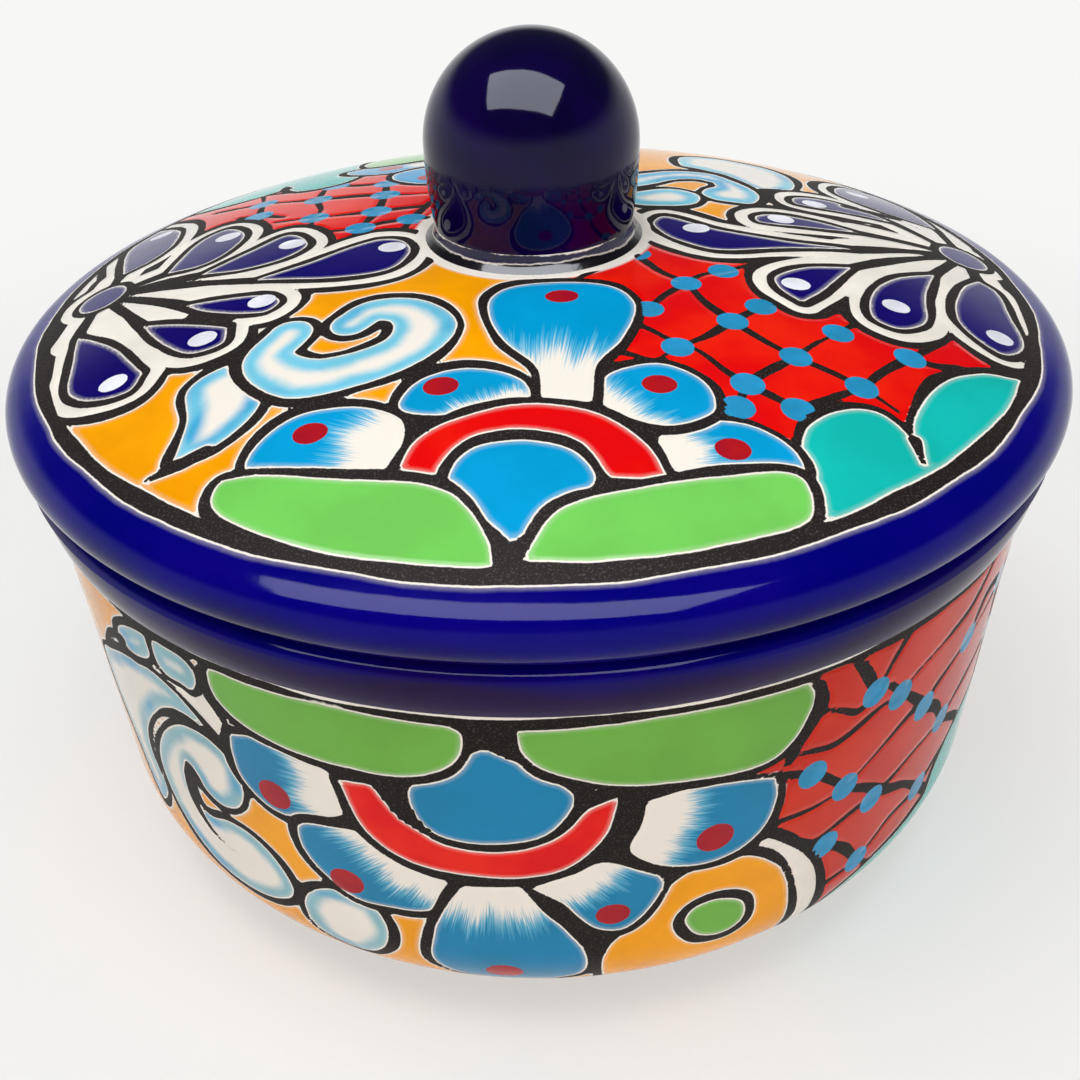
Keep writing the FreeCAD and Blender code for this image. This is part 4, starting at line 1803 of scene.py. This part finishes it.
@dataclass
class Lid:
    """The domed lid with its rolled edge and the flange that drops into the mouth."""

    steps: int = 576
    dome_centre: Point = (26.1, -92.4)
    dome_radius: float = 234.6
    wall: float = 7.0
    vent: float = 3.0
    flange_inside: float = 98.5
    edge_angle: float = 67.41
    painted_out_to: float = 111.2
    trim_half: float = 1.45
    trim_reach: float = 16.2
    knob_seat: float = 27.2
    seat_clear: float = 26.9
    ring_radius: float = 24.5
    ring_width: float = 1.5
    back_shift: Point = (3.3, 24.0)
    # Heights over which painted shade darkens the underside of the rolled edge.
    shade_span: Point = (112.5, 119.0)

    def profile(self) -> Profile:
        """Draws the half section, from the vent out over the top and back underneath.

        Returns:
            The half section, closed at the vent.
        """
        p = Profile()
        cx, cz = self.dome_centre
        p.start(self.vent, 142.2, Zone.LINER)
        p.line(cx, 142.2, 3.0, Zone.PATTERN)
        p.arc((cx, cz), self.dome_radius, 90.0, self.edge_angle, 0.9, Zone.PATTERN)
        p.arc((113.7, 118.1), 6.6, self.edge_angle, -90.0, 1.1, Zone.COBALT)
        p.line(106.6, 111.5, 1.5, Zone.COBALT)
        p.line(105.5, 110.9, 1.0, Zone.LINER)
        p.line(105.5, 104.7, 2.2, Zone.LINER)
        p.arc((103.3, 104.7), 2.2, 0.0, -90.0, 1.2, Zone.LINER)
        p.line(100.7, 102.5, 2.0, Zone.LINER)
        p.arc((100.7, 104.7), 2.2, -90.0, -180.0, 1.2, Zone.LINER)
        inner, out = self.dome_radius - self.wall, self.flange_inside - cx
        up = math.sqrt(inner**2 - out**2)
        p.line(self.flange_inside, cz + up, 2.2, Zone.LINER)
        p.arc((cx, cz), inner, math.degrees(math.atan2(up, out)), 90.0, 4.5, Zone.LINER)
        p.line(self.vent, cz + inner, 6.0, Zone.LINER)
        return p

    def build(self, glaze: bpy.types.Material) -> bpy.types.Object:
        """Builds and paints the lid.

        Args:
            glaze: its finish.

        Returns:
            The piece.
        """
        piece = spin_shell("painted_lid", self.profile(), self.steps, True)
        places, _, zones = vertex_data(piece.data)
        canvas = Canvas(places[:, :2].copy())
        self.paint(canvas)
        cover_plain(canvas, zones)
        canvas.dot[zones != Zone.PATTERN.value] = FAR
        self.trim(canvas, zones)
        # Painted shade on the underside of the rolled edge.
        paint_cobalt_shade(canvas, zones, places[:, 2], self.shade_span, Glaze.SHADED_ROLL_COBALT)
        canvas.keep_on(piece.data)
        piece.data.materials.append(glaze)
        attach(piece, "lid")
        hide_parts("lid")
        return piece

    def paint(self, canvas: Canvas) -> None:
        """Paints the top of the lid.

        Args:
            canvas: the canvas.
        """
        for turn, net, scallop, spur, scroll in (
            (0.0, LID_NET, LID_SCALLOP, LID_SPUR, LID_SCROLL),
            (180.0, BACK_NET, BACK_SCALLOP, BACK_SPUR, BACK_SCROLL),
        ):
            self.face(canvas, turn)
            x, y = canvas.place[:, 0], canvas.place[:, 1]
            canvas.cover(np.nonzero((x <= 0.0) & (y < 0.0))[0], Glaze.ORANGE, 1.0)
            net.paint(canvas, np.nonzero((x > 0.0) & (y <= 0.0))[0])
            canvas.draw(*LID_SEAM)
            canvas.paint(scallop, Glaze.TEAL)
            canvas.draw(*spur)
            scroll.paint(canvas)
        self.face(canvas, 0.0)
        LEFT_FAN.paint(canvas)
        RIGHT_FAN.paint(canvas)
        canvas.draw_all(LID_FILLERS)
        LID_FLOWER.paint(canvas)
        self.face(canvas, 180.0)
        canvas.place = canvas.place - np.array(self.back_shift)
        BACK_FLOWER.paint(canvas)
        canvas.draw(*BACK_STEM)
        self.face(canvas, 0.0)
        canvas.paint(Oval((0.0, 0.0), (self.knob_seat, self.knob_seat)), Glaze.WHITE, 0.0, 0.0, 0.0)
        canvas.line[np.hypot(canvas.flat[:, 0], canvas.flat[:, 1]) < self.seat_clear] = FAR
        self.ring(canvas)

    def trim(self, canvas: Canvas, zones: np.ndarray) -> None:
        """Draws the slip ring round the painting and clears what lies past it.

        Args:
            canvas: the canvas.
            zones: what covers each vertex.
        """
        radius = np.hypot(canvas.flat[:, 0], canvas.flat[:, 1])
        top = (zones == Zone.PATTERN.value) | (zones == Zone.COBALT.value)
        past = np.nonzero(top & (radius > self.painted_out_to))[0]
        canvas.cover(past, Glaze.COBALT, 1.0)
        canvas.line[past] = FAR
        rounded = np.nonzero(top & (radius > self.painted_out_to - self.trim_reach))[0]
        gap = np.abs(radius[rounded] - self.painted_out_to) - self.trim_half - canvas.waver(rounded)
        canvas.line[rounded] = np.minimum(canvas.line[rounded], gap)

    def ring(self, canvas: Canvas) -> None:
        """Draws an uneven slip ring round the knob.

        Args:
            canvas: the canvas.
        """
        turn = np.arctan2(canvas.flat[:, 0], canvas.flat[:, 1])
        uneven = 0.35 * np.sin(3.0 * turn + 0.6) + 0.25 * np.sin(7.0 * turn + 2.0)
        radius = np.hypot(canvas.flat[:, 0], canvas.flat[:, 1])
        gap = np.abs(radius - self.ring_radius) - self.ring_width / 2 - uneven
        canvas.line = np.minimum(canvas.line, gap)

    def face(self, canvas: Canvas, turn: float) -> None:
        """Turns the drawing round the lid's middle.

        Args:
            canvas: the canvas.
            turn: how far, in degrees.
        """
        c, s = math.cos(math.radians(turn)), math.sin(math.radians(turn))
        x, y = canvas.flat[:, 0], canvas.flat[:, 1]
        canvas.place = np.stack([c * x + s * y, c * y - s * x], axis=1)


@dataclass
class Knob:
    """The hollow cobalt knob and the slip collar that joins it to the lid."""

    steps: int = 192
    radius: float = 23.7
    centre_height: float = 163.0
    side_radius: float = 121.1
    foot_height: float = 142.2

    def profile(self) -> Profile:
        """Draws the knob's half section, from its seat round the outside to its top.

        Returns:
            The half section, ending on the axis.
        """
        p = Profile()
        side_centre = self.radius - self.side_radius
        dip = math.degrees(math.asin((self.centre_height - self.foot_height) / self.side_radius))
        p.start(3.0, self.foot_height, Zone.COBALT)
        p.line(21.9, self.foot_height, 4.0, Zone.COBALT)
        p.arc((side_centre, self.centre_height), self.side_radius, -dip, 0.0, 0.9, Zone.COBALT)
        p.arc((0.0, self.centre_height), self.radius, 0.0, 90.0, 0.9, Zone.COBALT)
        return p

    def collar_profile(self) -> Profile:
        """Draws the collar's half section, a fillet round the knob's foot.

        Returns:
            The half section, closed inside the knob.
        """
        p = Profile()
        p.start(21.0, self.foot_height, Zone.COBALT)
        p.line(24.6, self.foot_height, 1.2, Zone.COBALT)
        p.line(22.98, 143.67, 0.7, Zone.COBALT)
        p.line(22.3, 146.4, 0.9, Zone.COBALT)
        p.line(21.4, 145.6, 0.8, Zone.COBALT)
        return p

    def build(self, glaze: bpy.types.Material, slip: bpy.types.Material) -> list[bpy.types.Object]:
        """Builds the knob and its collar.

        Args:
            glaze: the knob's finish.
            slip: the collar's finish.

        Returns:
            The two pieces.
        """
        knob = spin_shell("cobalt_knob", self.profile(), self.steps, False)
        self.close_underneath(knob)
        collar = spin_shell("slip_collar", self.collar_profile(), self.steps, True)
        for piece, node, finish in ((knob, "knob", glaze), (collar, "knob_slip_collar", slip)):
            piece.data.materials.append(finish)
            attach(piece, "lid")
            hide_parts(node)
        return [knob, collar]

    def close_underneath(self, knob: bpy.types.Object) -> None:
        """Closes the small round at the knob's seat.

        Args:
            knob: the knob's shell.
        """
        bm = bmesh.new()
        bm.from_mesh(knob.data)
        bmesh.ops.holes_fill(bm, edges=[edge for edge in bm.edges if edge.is_boundary], sides=0)
        bmesh.ops.recalc_face_normals(bm, faces=bm.faces)
        bm.to_mesh(knob.data)
        bm.free()


@dataclass(frozen=True)
class Camera:
    """The camera at the photograph's place, its picture 1080 pixels wide."""

    picture: float = 1080.0
    focal: float = 1300.0
    sensor: float = 36.0
    elevation: float = 34.53
    roll: float = -1.67
    distance: float = 0.30529
    right: float = -0.00065
    up: float = -0.05644
    base: float = 0.1256

    def place(self) -> bpy.types.Object:
        """Puts the camera in the scene.

        Returns:
            The camera.
        """
        tilt, turn = math.radians(self.elevation), math.radians(self.roll)
        back = Vector((0.0, -math.cos(tilt), math.sin(tilt)))
        right = Vector((1.0, 0.0, 0.0))
        up = Vector((0.0, math.sin(tilt), math.cos(tilt)))
        spot = back * self.distance + right * self.right + up * self.up + Vector((0.0, 0.0, self.base))
        x = math.cos(turn) * right + math.sin(turn) * up
        y = -math.sin(turn) * right + math.cos(turn) * up
        data = bpy.data.cameras.new("camera")
        data.sensor_width = self.sensor
        data.lens = self.sensor * self.focal / self.picture
        data.clip_start = 0.01
        camera = bpy.data.objects.new("camera", data)
        camera.matrix_world = Matrix((
            (x.x, y.x, back.x, spot.x), (x.y, y.y, back.y, spot.y), (x.z, y.z, back.z, spot.z), (0, 0, 0, 1),
        ))
        bpy.context.scene.collection.objects.link(camera)
        bpy.context.scene.camera = camera
        return camera


@dataclass(frozen=True)
class SoftBox:
    """A soft lamp over the table, or a bright card that only shows in reflections."""

    name: str
    size: Point
    place: tuple[float, float, float]
    aim: tuple[float, float, float]
    power: float
    colour: tuple[float, float, float] = (1.0, 1.0, 1.0)
    mirrored: bool = False
    lights: bool = True

    def hang(self) -> bpy.types.Object:
        """Puts the lamp in the scene.

        Returns:
            The lamp.
        """
        data = bpy.data.lights.new(self.name, "AREA")
        data.shape = "RECTANGLE"
        data.size, data.size_y = self.size
        data.energy = self.power
        data.color = self.colour
        lamp = bpy.data.objects.new(self.name, data)
        lamp.visible_glossy = self.mirrored
        lamp.visible_diffuse = self.lights
        lamp.location = self.place
        lamp.rotation_euler = (Vector(self.aim) - Vector(self.place)).to_track_quat("-Z", "Y").to_euler()
        bpy.context.scene.collection.objects.link(lamp)
        return lamp


@dataclass(frozen=True)
class FloorPaper:
    """Pale paper that keeps the shadow near the object and fades to white further off."""

    name: str = "floor_paper"
    colour: Colour = linear(240, 240, 239)
    white: Colour = linear(247, 247, 246)
    near: float = 0.14
    far: float = 0.5
    least: float = 0.55

    def build(self) -> bpy.types.Material:
        """Builds the material.

        Returns:
            The material.
        """
        material, w, shader = new_material(self.name)
        shader.inputs["Base Color"].default_value = self.colour
        shader.inputs["Roughness"].default_value = 0.9
        length = w.node("ShaderNodeVectorMath", operation="LENGTH")
        w.plug(w.node("ShaderNodeTexCoord").outputs["Object"], length.inputs[0])
        white = w.step(length.outputs["Value"], self.near, self.far, self.least, 1.0)
        glow = w.node("ShaderNodeEmission")
        glow.inputs["Color"].default_value = self.white
        mix = w.node("ShaderNodeMixShader")
        w.plug(w.math("MULTIPLY", white, w.seen()), mix.inputs[0])
        w.plug(shader.outputs[0], mix.inputs[1])
        w.plug(glow.outputs[0], mix.inputs[2])
        output = next(node for node in material.node_tree.nodes if node.type == "OUTPUT_MATERIAL")
        w.plug(mix.outputs[0], output.inputs["Surface"])
        return material


@dataclass(frozen=True)
class Studio:
    """The pale floor, the soft lamps and the room's own light."""

    floor_half: float = 4.0
    room_colour: Colour = linear(214, 222, 232)
    room_strength: float = 0.12
    backdrop: Colour = linear(246, 247, 245)
    backdrop_top: Point = (0.12, 0.42)
    lamps: tuple[SoftBox, ...] = (
        SoftBox("ceiling", (4.0, 4.0), (0.0, 0.3, 3.0), (0.0, 0.0, 0.0), 32.0),
        SoftBox("window", (0.8, 0.5), (-0.12, -0.25, 1.1), (0.0, 0.0, 0.16), 6.6),
        SoftBox("fill", (1.2, 0.7), (0.1, -1.5, 0.75), (0.0, 0.0, 0.08), 10.0, (1.0, 0.9, 0.8)),
        SoftBox("sky_card", (1.35, 0.75), (-0.1, -0.36, 1.1), (0.0, 0.0, 0.16), 32.0, (0.9, 0.93, 1.0),
                mirrored=True, lights=False),
    )

    def build(self) -> None:
        """Builds the floor, lamps and world."""
        bm = bmesh.new()
        bmesh.ops.create_grid(bm, x_segments=1, y_segments=1, size=self.floor_half)
        mesh = bpy.data.meshes.new("floor")
        bm.to_mesh(mesh)
        bm.free()
        floor = bpy.data.objects.new("floor", mesh)
        bpy.context.scene.collection.objects.link(floor)
        mesh.materials.append(FloorPaper().build())
        for lamp in self.lamps:
            lamp.hang()
        world = bpy.data.worlds.new("room")
        world.use_nodes = True
        w = Wiring(world.node_tree)
        room = next(node for node in world.node_tree.nodes if node.type == "BACKGROUND")
        room.inputs["Color"].default_value = self.room_colour
        room.inputs["Strength"].default_value = self.room_strength
        paper = w.node("ShaderNodeBackground")
        paper.inputs["Color"].default_value = self.backdrop
        parts = w.node("ShaderNodeSeparateXYZ")
        w.plug(w.node("ShaderNodeTexCoord").outputs["Generated"], parts.inputs[0])
        low = w.step(parts.outputs["Z"], *self.backdrop_top, 1.0, 0.0)
        mix = w.node("ShaderNodeMixShader")
        w.plug(w.math("MULTIPLY", low, w.seen()), mix.inputs[0])
        w.plug(room.outputs[0], mix.inputs[1])
        w.plug(paper.outputs[0], mix.inputs[2])
        output = next(node for node in world.node_tree.nodes if node.type == "OUTPUT_WORLD")
        w.plug(mix.outputs[0], output.inputs["Surface"])
        bpy.context.scene.world = world


def report(pieces: Iterable[bpy.types.Object]) -> None:
    """Logs each piece with its counts of vertices and faces."""
    for piece in pieces:
        log.info("%s: %d vertices, %d faces", piece.name, len(piece.data.vertices), len(piece.data.polygons))


def main() -> None:
    """Builds the pieces in order and sets the scene."""
    logging.basicConfig(level=logging.INFO, format="%(message)s")
    bpy.context.scene.view_settings.view_transform = "Standard"
    effects = Effects(make_hand_waves(), make_glaze_pool(), make_brush_edge())
    report([Bowl().build(PaintedGlaze("painted_bowl_glaze").build(effects))])
    report([Lid().build(PaintedGlaze("painted_lid_glaze").build(effects))])
    report(Knob().build(CobaltGlaze("cobalt_glaze").build(effects), CollarSlip("collar_slip").build(effects)))
    Studio().build()
    Camera().place()


if __name__ == "__main__":
    main()
